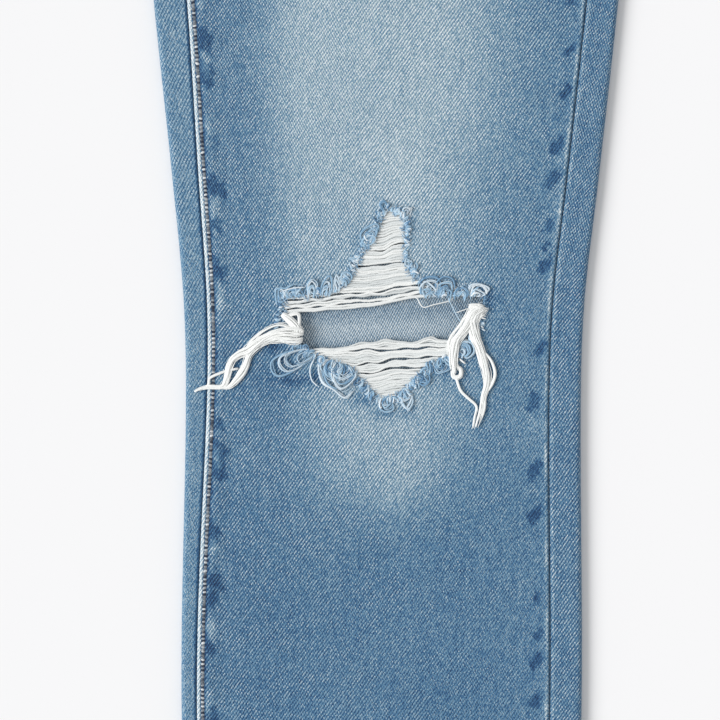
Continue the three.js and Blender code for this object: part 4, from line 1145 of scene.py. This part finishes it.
def large_loop(made, points, count, shade, rise):
    """Threads that loop inside each other, from one root on the rip's edge to another."""
    line = smooth_line(points)
    root = (line[0] + line[-1]) / 2
    for ring in range(count):
        ring_shade = shade - 0.04 + rng.normal(0, 0.14)
        ring_shift = rng.normal(0, 0.35, 2)
        ring_bend = rng.uniform(0.3, 0.8) * np.array([rng.normal(), rng.normal()])
        for part in range(4):
            size = 1 - 0.2 * ring + (part > 0) * rng.normal(0, 0.045)
            first = int(rng.uniform(0, 0.3) ** 2 * 4 * len(line))
            last = len(line) - int(rng.uniform(0, 0.5) ** 2 * 2 * len(line))
            if last - first < 6:
                continue
            t = np.linspace(0, 1, len(line))[first:last]
            wander = ring_bend * np.sin(t[:, None] * (7, 9) + ring)
            wander = wander + (part > 0) * rng.uniform(0.1, 0.5) * np.sin(t[:, None] * rng.uniform(5, 15, 2))
            u, v = (root + ring_shift + (line[first:last] - root) * size + wander).T
            above = 0.2 + rise * (0.3 + 0.5 * rng.uniform(0, 1)) * np.sin(math.pi * t)
            tone = np.clip(ring_shade + (part > 0) * rng.uniform(0, 0.3), 0, 1)
            add_strand(made, leg_line(u, v, above), rng.uniform(*(FILAMENT if part else YARN)), tone, 4)


def fray(made, start, end, count, heading, spread, length, width, shade, rise):
    """Bunches of threads along a stretch of the rip's edge; those of a bunch loop inside each other."""
    start, end = np.array(start, float), np.array(end, float)
    left = count
    while left > 0:
        root = lerp(start, end, rng.uniform(0, 1))
        turn = math.radians(heading + rng.normal(0, spread * 0.6))
        long, wide = length * rng.uniform(0.6, 1.2), width * rng.uniform(0.55, 1.3) * rng.choice((-1, 1))
        stop, lean = rng.uniform(0.22, 0.58), rng.uniform(-0.3, 0.3)
        tone = shade + FRAY_LIFT + rng.normal(0, 0.16)
        for nested in range(int(rng.integers(2, 6))):
            size = 1 - 0.1 * nested + rng.normal(0, 0.08)
            t = np.linspace(0, stop + rng.normal(0, 0.04), 12 if long > 7 else 10) * 2 * math.pi
            reach = long * size * (1 - np.cos(t)) / 2
            aside = wide * size / 2 * np.sin(t) + lean * reach + 0.12 * np.sin(t * 2.3 + nested)
            twisted = turn + rng.normal(0, 0.07)
            foot = root + rng.normal(0, 0.35, 2)
            u = foot[0] + reach * math.cos(twisted) - aside * math.sin(twisted)
            v = foot[1] + reach * math.sin(twisted) + aside * math.cos(twisted)
            above = 0.25 + rise * rng.uniform(0.25, 1) * np.sin(t / 2)
            thickness = rng.uniform(*(FILAMENT if nested % 3 else YARN))
            add_strand(made, leg_line(u, v, above), thickness, np.clip(tone + rng.normal(0, 0.17), 0, 1))
            left -= 1


def edge_fuzz(made, from_share, to_share):
    """Short fibres on both sides of part of the rip's edge."""
    for _ in range(FUZZ_COUNT):
        at = rng.uniform(from_share, to_share) % 1 * len(RIP_EDGE)
        here, there = RIP_EDGE[int(at)], RIP_EDGE[(int(at) + 1) % len(RIP_EDGE)]
        foot = lerp(here, there, at % 1) + rng.normal(0, 0.3, 2)
        heading = math.atan2(*(there - here)[::-1]) + rng.choice((-1, 1)) * rng.uniform(0.5, 2.4)
        long, bend = rng.uniform(1, 3.4), rng.normal(0, 0.5)
        t = np.linspace(0, 1, 5)
        turn = heading + bend * t
        u, v = foot[0] + long * t * np.cos(turn), foot[1] + long * t * np.sin(turn)
        above = 0.1 + rng.uniform(0.1, FUZZ_ROOM) * np.sin(t * 2.4)
        add_strand(made, leg_line(u, v, above), rng.uniform(0.16, 0.24), rng.uniform(0.2, 0.9), sides=4)


def warp_frays():
    for name, clusters in (("high_left", HIGH_LEFT_FRAYS), ("high_right", HIGH_RIGHT_FRAYS),
                           ("low_left", LOW_LEFT_FRAYS), ("low_right", LOW_RIGHT_FRAYS)):
        made = new_threads()
        for cluster in clusters:
            fray(made, *cluster)
        for loop in LARGE_LOOPS[name]:
            large_loop(made, *loop)
        edge_fuzz(made, *FUZZ_SHARES[name])
        if name == "low_left":
            for points in LONE_LOOPS:
                u, v = smooth_line(points).T
                add_strand(made, leg_line(u, v, 1.2), 0.36, 0.95)
        if name == "high_right":
            for points in LOOSE_BLUE:
                u, v = smooth_line(points).T
                add_strand(made, leg_line(u, v, -0.1), 0.3, 0.7)
        thread_piece(f"warp_frays_{name}", made, BLUE, f"warp_curls_{name}")


weft_and_tufts()
warp_frays()


# Smaller cloth pieces: a grid over the piece's outline, trimmed to it
def edge_distance(outline, x, y):
    """Distance of places from a closed outline."""
    best = np.full(np.shape(x), 1e9)
    for (x0, y0), (x1, y1) in zip(outline, np.roll(outline, -1, 0)):
        dx, dy = x1 - x0, y1 - y0
        share = np.clip(((x - x0) * dx + (y - y0) * dy) / (dx * dx + dy * dy + 1e-9), 0, 1)
        best = np.minimum(best, np.hypot(x - x0 - share * dx, y - y0 - share * dy))
    return best


EDGE_ROLL = 0.45
EDGE_ROLL_WIDTH = 0.9


def trimmed_patch(name, outline, step, face, up, wear, turn=0.0, hidden_edge=None):
    """A patch that looks up (1) or down (-1), shaded by wear(x, y), its cloth turned by some degrees."""
    outline = np.asarray(outline, float)
    low, high = outline.min(0) - step / 2, outline.max(0) + step / 2
    xs = np.linspace(low[0], high[0], int((high[0] - low[0]) / step) + 2)
    ys = np.linspace(low[1], high[1], int((high[1] - low[1]) / step) + 2)
    x, y = np.meshgrid(xs, ys)
    points = np.stack([x, y, 0 * x], -1)
    mesh = sheet_mesh(name, points, {}, points[:, :, :2], up < 0)
    cut_hole(mesh, outline, step * 1.6, keep_inside=True)
    co = points_of(mesh)
    x, y = co[:, 0] / MM, co[:, 1] / MM - CROTCH_Y
    edge = edge_distance(outline, x, y)
    shown = 1.0 if hidden_edge is None else hidden_edge(x, y)
    roll = EDGE_ROLL * (1 - smooth(edge, 0, EDGE_ROLL_WIDTH)) * shown
    pucker = 0.12 * np.sin((x + y) * 2 * math.pi / 9) * hill(edge, 4, 2.4) * shown
    co[:, 2] = (face(x, y) - up * (roll - pucker)) * MM
    mesh.vertices.foreach_set("co", co.ravel())
    values = {"worn": wear(x, y), "dark": 0.0, "bare": 0.62 * hill(edge, 0.5, 0.8) * shown}
    for key, value in values.items():
        set_values(mesh, key, np.broadcast_to(value, x.shape))
    across, along_it = turned(x, y, -math.radians(turn))
    set_cloth_axes(mesh, np.stack([up * across, along_it], -1))
    mesh.update()
    return mesh


def waist_seam(x, front=True):
    return lerp(FRONT_WAIST if front else BACK_WAIST, WAIST_AT_SIDE, smooth(np.abs(x) / WAIST_HALF, 0, 1))


def hip_face(x, y):
    """Height of the left front's face over the hips, near the fly."""
    q = np.abs(x) / along(SIDE, y + 20)
    u, v = leg_axes(x, y)
    flat = HIP_EDGE_TOP + (HIP_CROWN - HIP_EDGE_TOP) * (1 - q * q)
    return flat - troughs(HIP_CREASES, x, y) * 0.8 + 0.35 * slow_waves(u, v, 41) * smooth(x, 4, 30)


def side_seam_x(y):
    rise = np.clip((y - 28) / (WAIST_AT_SIDE - 28), 0, 1)
    return along(SIDE, y) - lerp(SIDE_SEAM_IN, SIDE_SEAM_IN_AT_WAIST, rise)


def plain_wear(seed, level=0.0):
    return lambda x, y: BASE_SHADE + level + 0.02 * slow_waves(x, y, seed)


# Fly: its edge laps over the wearer's right front; its far side runs out flat under the curved double row
FLY = (-6, 38)
FLY_TOE = 3
FLY_CURVE_END = 108
FLY_LIFT = 1.4


def fly_curve(inset, steps=24):
    """The curved double row's line, from the lower end up to the waist."""
    t = np.linspace(0, 1, steps)
    x = (1 - t) ** 2 * FLY_TOE + 2 * t * (1 - t) * FLY[1] + t * t * FLY[1]
    y = (1 - t) ** 2 * FLY_BOTTOM + 2 * t * (1 - t) * (FLY_BOTTOM + 9) + t * t * FLY_CURVE_END
    x = np.append(x, [FLY[1]] * 5)
    y = np.append(y, np.linspace(FLY_CURVE_END + 20, waist_seam(FLY[1]) - 1, 5))
    line = np.stack([x, y], -1)
    return line + to_the_left(direction(line)) * inset


def fly_mesh():
    top = [(x, waist_seam(x) - SEAM_GAP) for x in (30, 22, 14, 6, FLY[0])]
    curve = fly_curve(0)
    outline = np.concatenate([[(FLY[0], FLY_BOTTOM)], curve, top])

    def face(x, y):
        from_curve = np.min([np.hypot(x - a, y - b) for a, b in curve[::2]], axis=0)
        rise = smooth(from_curve, -4, 14)
        return hip_face(x, y) + lerp(-0.6, FLY_LIFT, rise) - 0.25 * hill(y, FLY_BOTTOM, 6)

    def wear(x, y):
        u, v = leg_axes(x, y)
        return BASE_SHADE + fade(u, v) + 0.03 * hill(x, 6, 14)

    return trimmed_patch("fly_cloth", outline, 1.6, face, 1, wear, 7,
                         hidden_edge=lambda x, y: (x < FLY[0] + 3) * 1.0)


# Pocket facings seen in the scoops, and the coin pocket on the wearer's right
FACING_UNDER = 13.5
COIN = {"left": 138, "right": 196, "top": 214, "gap": 0.5}


def facing_height(x, y):
    across, up = (np.abs(x) - SCOOP[0]) / SCOOP_HALF[0], (y - SCOOP[1]) / SCOOP_HALF[1]
    return 5.05 + 1.5 * smooth(0.9 - np.hypot(across, up), 0, 0.35)


def facing_outline():
    arc = scoop_arc(FACING_UNDER)
    arc = arc[(arc[:, 0] < side_seam_x(arc[:, 1]) - 1.2) & (arc[:, 1] < waist_seam(arc[:, 0]) - 1)]
    up = np.array([(side_seam_x(y) - 1.2, y) for y in np.linspace(arc[-1, 1] + 4, 238, 9)])
    along_waist = np.array([(x, waist_seam(x) - SEAM_GAP) for x in np.linspace(190, arc[0, 0] + 2, 9)])
    return np.concatenate([arc, up, along_waist])


def coin_outline():
    arc = scoop_arc(-COIN["gap"])
    arc = arc[(arc[:, 0] > COIN["left"]) & (arc[:, 0] < COIN["right"])]
    low_left, low_right = np.interp([COIN["left"], COIN["right"]], arc[:, 0], arc[:, 1])
    return np.concatenate([[(COIN["left"], COIN["top"]), (COIN["left"], low_left)], arc,
                           [(COIN["right"], low_right), (COIN["right"], COIN["top"])]])


# Back pockets
POCKET = {"x": 128, "top": 170, "half_top": 71, "half_low": 63, "side": 128, "tip": 150, "turn": 5}
UNDER_LEVEL = 0.22


def pocket_outline(inset=0.0, open_top=False):
    half, low, side, tip = (POCKET[k] for k in ("half_top", "half_low", "side", "tip"))
    top = 0 if open_top else -inset
    line = np.array([(-half + inset, top), (-low + inset, -side + 0.3 * inset), (0, -tip + inset),
                     (low - inset, -side + 0.3 * inset), (half - inset, top)])
    return np.stack(turned(*line.T, math.radians(POCKET["turn"])), -1) + (POCKET["x"], POCKET["top"])


# Belt loops
LOOP = {"width": 12, "length": 50, "corner": 1.5, "below": 10, "lean": 1.5, "cloth": 1.5}


def loop_middle(x, front):
    return waist_seam(x, front) - LOOP["below"] + LOOP["length"] / 2


def loop_outline(x, front, inset=0.0):
    wide, long = LOOP["width"] / 2 - inset, LOOP["length"] / 2 - inset
    c = LOOP["corner"]
    line = np.array([(c - wide, -long), (wide - c, -long), (wide, c - long), (wide, long - c),
                     (wide - c, long), (c - wide, long), (-wide, long - c), (-wide, c - long)])
    lean = math.radians(-np.sign(x) * LOOP["lean"])
    return np.stack(turned(*line.T, lean), -1) + (x, float(loop_middle(x, front)))


def loop_face(x0, front):
    middle = loop_middle(x0, front)
    high = HIP_CROWN + SEAM_GAP + LOOP["cloth"]

    def face(x, y):
        arch = smooth(LOOP["length"] / 2 - np.abs(y - middle), 2, 9)
        fold = 0.22 * hill(x - x0, 0, 1.2)
        return high - 0.45 + 0.45 * arch - fold if front else UNDER_LEVEL + 0.25 - 0.2 * arch + fold
    return face


FRONT_LOOP, BACK_LOOP = 98, 150
LOOPS = (("front_left", FRONT_LOOP, True), ("front_right", -FRONT_LOOP, True),
         ("back_left", BACK_LOOP, False), ("back_right", -BACK_LOOP, False), ("back_middle", 0, False))
THIN_PATCH = 0.8


def seat_wear(x, y):
    """Shade of the back pockets, which are paler in the middle."""
    rubbed = 0.07 * hill(np.abs(x), POCKET["x"], 46) * hill(y, POCKET["top"] - 70, 60)
    return BASE_SHADE + 0.05 * slow_waves(x, y, 75) + rubbed


def small_pieces():
    made = {"fly": fly_mesh()}
    for word, side in (("left", 1), ("right", -1)):
        mirror = (side, 1)
        made[f"pocket_facing_{word}"] = trimmed_patch(
            f"facing_{word}_cloth", facing_outline() * mirror, 2, facing_height, 1,
            plain_wear(70 + side, -0.05))
        made[f"back_pocket_{word}"] = trimmed_patch(
            f"back_pocket_{word}_cloth", pocket_outline() * mirror, 2.2,
            lambda x, y: 0 * x + UNDER_LEVEL, -1, seat_wear, side * POCKET["turn"])
    made["coin_pocket"] = trimmed_patch(
        "coin_pocket_cloth", coin_outline() * (-1, 1), 1.8,
        lambda x, y: facing_height(x, y) + SEAM_GAP + 1.1, 1, plain_wear(80, 0.0))
    for word, x, front in LOOPS:
        made[f"belt_loop_{word}"] = trimmed_patch(
            f"belt_loop_{word}_cloth", loop_outline(x, front), 1.2, loop_face(x, front), 1 if front else -1,
            plain_wear(85, 0.03))
    for node, mesh in made.items():
        thickness = PATCH
        if "loop_front" in node:
            thickness = LOOP["cloth"] - 0.4
        elif node.startswith(("back", "belt")):
            thickness = THIN_PATCH
        cloth[node] = cloth_piece(mesh, node, thickness)


# Waistband: one strip from its end under the fly, round the wearer's right and the back, to the end on top
BAND = {"height": 38, "half_top": 200, "top": 6.9, "underlap": 28}
BAND["lap"], BAND["lap_flat"], BAND["lap_from"] = 2.7, 34, 58


def band_line():
    """Places round the band (x, z, y) and the direction that its face looks in (x, z)."""
    radius = (BAND["top"] - SEAT_LIFT) / 2
    fold = WAIST_HALF - radius
    turn = np.radians(np.linspace(90, -90, 13))[1:-1]

    def round_fold(side, turn):
        return (side * (fold + radius * np.cos(turn)), SEAT_LIFT + radius + radius * np.sin(turn),
                0 * turn + WAIST_AT_SIDE, side * np.cos(turn), np.sin(turn))

    right = np.arange(BAND["underlap"], -fold, -3.2)
    back = np.arange(-fold, fold + 1, 3.2)
    left = np.append(np.arange(fold, FLY[0] - 0.1, -2.6), FLY[0])
    lap = BAND["lap"] * (1 - smooth(left, BAND["lap_flat"], BAND["lap_from"]))
    parts = (
        (right, 0 * right + BAND["top"], waist_seam(right), 0 * right, 0 * right + 1),
        round_fold(-1, turn),
        (back, 0 * back + SEAT_LIFT, waist_seam(back, False), 0 * back, 0 * back - 1),
        round_fold(1, turn[::-1]),
        (left, BAND["top"] + lap, waist_seam(left), 0 * left, 0 * left + 1),
    )
    return [np.concatenate(column) for column in zip(*parts)]


def band_mesh():
    x, z, y, face_x, face_z = band_line()
    up = np.array((0, 0.5, 1.2, 2.5, 5, 8, 12, 16, 20, 24, 28, 31, 34, 35.8, 36.9, 37.5, 38))[:, None]
    edge = np.minimum(up, BAND["height"] - up)
    arc = np.cumsum(np.hypot(np.diff(x, prepend=x[0]), np.diff(z, prepend=z[0])))
    relief = -0.5 * (1 - smooth(edge, 0, 1)) + 0.1 * np.sin(arc / 1.5) * hill(edge, 3.4, 1.8)
    relief = relief + 0.15 * slow_waves(arc[None, :], up, 90)
    relief = np.where(face_z < -0.5, np.minimum(relief, 0), relief)
    narrow = lerp(1, BAND["half_top"] / WAIST_HALF, up / BAND["height"])
    points = np.stack([x * narrow + face_x * relief, y + SEAM_GAP + up + 0 * x,
                       z + face_z * relief + 0 * up], -1)
    worn = BASE_SHADE + 0.02 * slow_waves(arc[None, :] / 2, up, 91) + 0.03
    bare = 0.75 * hill(edge, 0.4, 0.7) + 0 * arc
    uv = np.stack([up + 0 * arc, arc + 0 * up], -1)
    return sheet_mesh("waistband_cloth", points, {"worn": worn, "dark": 0 * bare, "bare": bare}, uv, True)


small_pieces()
cloth["waistband"] = cloth_piece(band_mesh(), "waistband", BAND_CLOTH)


# Metal trim: a profile of (radius, height) spun round
BUTTON = ((0, 1.15), (1.5, 1.15), (2.1, 1.5), (3, 1.55), (3.6, 1.1), (5.6, 1.15), (6.5, 1.9), (7.2, 2.3),
          (7.9, 2.1), (8.4, 1.5), (8.2, 0.8), (7.4, 0.45), (6.2, 0))
RIVET = ((0, 1.2), (0.9, 1.1), (1.5, 0.6), (2.2, 0.35), (3, 0.45), (3.7, 0.6), (4.2, 0.4), (4.3, 0.1),
         (4.1, 0))


def turned_piece(node, profile, sides):
    """A round metal piece in place of its solid."""
    low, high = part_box(node)
    centre = (low + high) / 2
    bm = bmesh.new()
    line = [bm.verts.new((r * MM, 0, z * MM)) for r, z in profile]
    edges = [bm.edges.new(pair) for pair in zip(line, line[1:])]
    bmesh.ops.spin(bm, geom=line + edges, cent=(0, 0, 0), axis=(0, 0, 1), angle=2 * math.pi, steps=sides,
                   use_merge=True)
    bmesh.ops.remove_doubles(bm, verts=bm.verts, dist=1e-6)
    bmesh.ops.holes_fill(bm, edges=[e for e in bm.edges if e.is_boundary], sides=0)
    bmesh.ops.recalc_face_normals(bm, faces=bm.faces)
    bmesh.ops.translate(bm, verts=bm.verts, vec=(centre.x, centre.y, low.z))
    add_piece(finished(f"{node}_metal", bm), (METAL,), node)


turned_piece("button", BUTTON, 40)
for node in sorted(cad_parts):
    if node.startswith("rivet"):
        turned_piece(node, RIVET, 24)


# Sewing: one small stitch, set many times along each row
STITCH = {"pitch": 2.5, "length": 2.2, "radius": 0.42, "height": 0.3, "sink": 0.06}
# How unevenly plain and speckled stitches lie, and the shades of each; a speckled row's dark stitches are
# painted shadow between its light ones
LEAN = 0.07
SPECKLED_LEAN = 0.4
STITCH_SHADES = (0.3, 0.8)
SPECKLE = 0.24
RAY_FROM = 40


def cloth_surface():
    """All the cloth as one surface, to lay stitches on."""
    corners, faces = [], []
    for piece in cloth.values():
        first = len(corners)
        corners += [v.co.copy() for v in piece.data.vertices]
        faces += [[first + i for i in p.vertices] for p in piece.data.polygons]
    return BVHTree.FromPolygons(corners, faces)


def stitch_template():
    bm = bmesh.new()
    bmesh.ops.create_uvsphere(bm, u_segments=6, v_segments=4, radius=1)
    bmesh.ops.rotate(bm, verts=bm.verts, matrix=Matrix.Rotation(math.pi / 2, 3, "Y"), cent=(0, 0, 0))
    mesh = finished("stitch", bm)
    points = points_of(mesh)
    faces = [list(p.vertices) for p in mesh.polygons]
    bpy.data.meshes.remove(mesh)
    return points, faces


def spaced(line, pitch):
    """Places at even distances along a line."""
    travel = travelled(line)
    count = max(2, int(travel[-1] / pitch) + 1)
    at = (np.arange(count - 1) + 0.5) * travel[-1] / (count - 1)
    return np.stack([np.interp(at, travel, line[:, k]) for k in (0, 1)], -1)


def sewing_piece(name, rows, surface):
    """Rows of stitches as one piece. A row is its line of (x, y), 1 for the upper side or -1 for the
    underside, the pitch, the stitch's length and radius, and the two shades of a speckled row: a light
    stitch, and a dark one that is painted shadow between the stitches."""
    template, faces = stitch_template()
    points, polygons, shades = [], [], []
    for line, up, pitch, length, radius, stitch_and_shadow_tones in rows:
        hits = []
        for x, y in spaced(line, pitch):
            start = Vector((x, y + CROTCH_Y, up * RAY_FROM)) * MM
            spot, normal, _, _ = surface.ray_cast(start, Vector((0, 0, -up)))
            hits.append((np.array(spot) / MM, np.array(normal)) if spot else None)
        for k, hit in enumerate(hits):
            near = [h for h in hits[max(0, k - 1):k + 2] if h]
            if not hit or len(near) < 2:
                continue
            spot, normal = hit
            normal = normal * np.sign(normal[2]) * up
            run = near[-1][0] - near[0][0]
            run -= normal * run.dot(normal)
            run /= np.linalg.norm(run)
            lean = rng.normal(0, SPECKLED_LEAN if stitch_and_shadow_tones else LEAN)
            beside = np.cross(normal, run)
            run, beside = run + beside * lean, beside - run * lean
            stitch_axes = np.stack([run * length / 2, beside * radius, normal * STITCH["height"]])
            first = len(points) * len(template)
            points.append(template @ stitch_axes + spot + normal * STITCH["sink"])
            polygons += [[first + i for i in f] for f in faces]
            tone = stitch_and_shadow_tones[k % 2] + rng.normal(0, SPECKLE) if stitch_and_shadow_tones else rng.uniform(*STITCH_SHADES)
            shades.append(np.full(len(template), tone))
    points = np.concatenate(points) * MM
    points[:, 2] = np.maximum(points[:, 2], 0)
    mesh = thread_mesh(name, points, polygons, shades)
    threads[name] = add_piece(mesh, (SEWING,))


def row(line, up=1, pitch=STITCH["pitch"], length=STITCH["length"], radius=STITCH["radius"], stitch_and_shadow_tones=None):
    return np.asarray(line, float), up, pitch, length, radius, stitch_and_shadow_tones


def mirrored_rows(rows):
    return rows + [(line * (-1, 1), *rest) for line, *rest in rows]


def across_section(h, lines, w_of):
    s = section(np.asarray(h, float), lines)
    return np.stack(s["place"](w_of(s)), -1)


def sewing():
    surface = cloth_surface()
    legs = np.arange(HEM_V + 1, CROTCH_V - 12, 4.0)
    inseam = across_section(legs, FRONT_LINES, lambda s: s["inseam"] + SEAM_GAP + SEWN_IN - 0.35)
    # Every other stitch of the inseam's row is dark: painted shadow between the stitches
    inseam = [row(inseam, pitch=1.1, length=1.3, radius=1.05, stitch_and_shadow_tones=(0.6, 0.1))]
    sewing_piece("inseam_stitches", mirrored_rows(inseam), surface)
    hem = HEM_V + 12.6
    width = np.linspace(0.012, 0.988, 60)
    across = lerp(along(INNER_EDGE, hem), along(OUTER_EDGE, hem), width)
    hem_line = np.stack(on_leg(across, 0 * width + hem), -1)
    sewing_piece("hem_stitches", mirrored_rows([row(hem_line), row(hem_line, -1)]), surface)
    fly = [row(fly_curve(1.6)), row(fly_curve(7.4)),
           row([(FLY[0] + 1.6, FLY_BOTTOM + 2), (FLY[0] + 1.6, waist_seam(0) - 2)])]
    fly += [row([(x, 2), (x, FLY_BOTTOM - 1)]) for x in (2.2, 7.6)]
    fly.append(row([(0, FLY_BOTTOM + 4), (8, FLY_BOTTOM + 5)], pitch=0.7, radius=0.5))
    sewing_piece("fly_stitches", fly, surface)
    scoop = []
    for grow in (1.8, 7.6):
        arc = scoop_arc(grow)
        keep = (arc[:, 0] < side_seam_x(arc[:, 1]) - 1) & (arc[:, 1] < waist_seam(arc[:, 0]) - 1)
        scoop.append(row(arc[keep]))
    rows = mirrored_rows(scoop)
    for y in (COIN["top"] - 1.7, COIN["top"] - 7):
        rows.append(row([(-COIN["left"] - 1.5, y), (-COIN["right"] + 1.5, y)]))
    for x in (COIN["left"] + 1.6, COIN["right"] - 1.6):
        rows.append(row([(-x, COIN["top"] - 1), (-x, 171 if x > 170 else 196)]))
    sewing_piece("front_pocket_stitches", rows, surface)
    pocket = [row(pocket_outline(inset, True), -1) for inset in (1.8, 7.4)]
    top = pocket_outline()[[0, -1]] - (0, 11)
    pocket.append(row(lerp(top[0], top[1], np.array([[0.02], [0.98]])), -1))
    sewing_piece("back_pocket_stitches", mirrored_rows(pocket), surface)
    seat = []
    for up_by in (2, 7.6):
        y_in = YOKE_AT_BACK + SEAM_GAP + up_by
        q = np.linspace(0.01, 0.96, 40)
        x = lerp(0, along(SIDE, 212 + up_by), q)
        seat.append(row(np.stack([x, lerp(y_in, 212.3 + up_by * 0.8, q)], -1), -1))
    seat = mirrored_rows(seat) + [row([(x, 4), (x, BACK_WAIST - 2)], -1) for x in (2.2, 7.8)]
    sewing_piece("seat_stitches", seat, surface)
    x, _, y, _, face_z = band_line()
    upper, late = face_z > 0.9, np.arange(len(x)) > len(x) / 2
    band = []
    for up_by in (2, BAND["height"] - 2):
        narrow = lerp(1, BAND["half_top"] / WAIST_HALF, up_by / BAND["height"])
        for keep, side in ((upper & ~late, 1), (face_z < -0.9, -1), (upper & late, 1)):
            band.append(row(np.stack([x[keep] * narrow, y[keep] + SEAM_GAP + up_by], -1), side))
    band.append(row([(FLY[0] + 2, waist_seam(0) + 3), (FLY[0] + 2, waist_seam(0) + 36)]))
    sewing_piece("waistband_stitches", band, surface)
    loops = []
    for _, at, front in LOOPS:
        up = 1 if front else -1
        a, b = loop_outline(at, front, 2)[[0, 1]], loop_outline(at, front, 2)[[5, 4]]
        loops += [row([a[0], b[0]], up), row([a[1], b[1]], up)]
        loops += [row(end, up, 0.8, 2.4, 0.42) for end in (a, b)]
    sewing_piece("belt_loop_stitches", loops, surface)


sewing()


# The cut of the cloth that shows, in metres: width, length, flat area where it isn't a rectangle;
# then what it lies on and what is sewn to it
RIP_THREADS = ("weft_upper_threads", "weft_lower_threads", "tuft_left_threads", "tuft_right_threads",
               "warp_frays_high_left", "warp_frays_high_right", "warp_frays_low_left", "warp_frays_low_right")
CUTS = {
    "front_left": (0.268, 1.001, 0.1997, ("back_left",), (*RIP_THREADS, "inseam_stitches", "hem_stitches")),
    "front_right": (0.268, 1.001, 0.1997, ("back_right",), ()),
    "back_left": (0.315, 0.963, 0.2517, (), ("seat_stitches",)),
    "back_right": (0.315, 0.963, 0.2517, (), ()),
    "yoke_left": (0.238, 0.072, 0.0120, (), ()),
    "yoke_right": (0.238, 0.072, 0.0120, (), ()),
    "waistband": (0.038, 0.864, None, ("yoke_left", "yoke_right"), ("waistband_stitches",)),
    "fly": (0.044, 0.160, 0.0067, ("front_left", "front_right"), ("fly_stitches",)),
    "pocket_facing_left": (0.130, 0.090, 0.0070, ("back_left",), ()),
    "pocket_facing_right": (0.130, 0.090, 0.0070, ("back_right",), ("front_pocket_stitches",)),
    "coin_pocket": (0.058, 0.037, 0.0015, ("pocket_facing_right",), ()),
    "back_pocket_left": (0.142, 0.150, 0.0185, (), ("back_pocket_stitches",)),
    "back_pocket_right": (0.142, 0.150, 0.0185, (), ()),
    "belt_loop_front_left": (0.012, 0.050, None, ("front_left", "waistband"), ("belt_loop_stitches",)),
    "belt_loop_front_right": (0.012, 0.050, None, ("front_right", "waistband"), ()),
    "belt_loop_back_left": (0.012, 0.050, None, (), ()),
    "belt_loop_back_right": (0.012, 0.050, None, (), ()),
    "belt_loop_back_middle": (0.012, 0.050, None, (), ()),
}
for node, (wide, long, area, under, sewn_on) in CUTS.items():
    [cloth[name] for name in under]
    [threads[name] for name in sewn_on]


# Camera, floor and light
PHOTO_SCALE = 0.52
PHOTO_SIDE = 720
VIEW_CENTRE = (-12.5, -18.2)
CAMERA_UP = 1500
SENSOR = 36
# The floor's half side in metres, and its gap under the garment in millimetres
FLOOR_HALF = 20
FLOOR_GAP = 0.2
SKY = 0.56


def camera():
    data = bpy.data.cameras.new("camera")
    eye = in_scene("camera", data)
    x, y = on_leg(*VIEW_CENTRE)
    eye.location = Vector((x, y + CROTCH_Y, LEG_CROWN + CAMERA_UP)) * MM
    eye.rotation_euler = (0, 0, SPREAD)
    data.sensor_width = SENSOR
    data.lens = SENSOR * CAMERA_UP / (PHOTO_SCALE * PHOTO_SIDE)
    data.clip_start = 0.01
    bpy.context.scene.camera = eye


def floor():
    bm = bmesh.new()
    bmesh.ops.create_grid(bm, x_segments=1, y_segments=1, size=FLOOR_HALF)
    ground = in_scene("floor", finished("floor", bm))
    ground.location.z = -FLOOR_GAP * MM
    r = Recipe("pale_floor", roughness=0.9)
    r.shader.inputs["Base Color"].default_value = linear(FLOOR_GREY)
    ground.data.materials.append(r.material)


def soft_sun(name, strength, tilt, heading, spread):
    """Light from far off: tilt from overhead, and the compass side that it comes from, in degrees."""
    data = bpy.data.lights.new(name, "SUN")
    data.energy = strength
    data.angle = math.radians(spread)
    lamp = in_scene(name, data)
    lamp.rotation_euler = (math.radians(tilt), 0, math.radians(heading))


camera()
floor()
soft_sun("window", 2.66, 55, -80, 32)
world = bpy.data.worlds.new("studio")
bpy.context.scene.world = world
world.use_nodes = True
sky = world.node_tree.nodes["Background"]
sky.inputs[0].default_value = (1.0, 1.0, 1.0, 1)
sky.inputs[1].default_value = SKY
bpy.context.scene.view_settings.view_transform = "Standard"
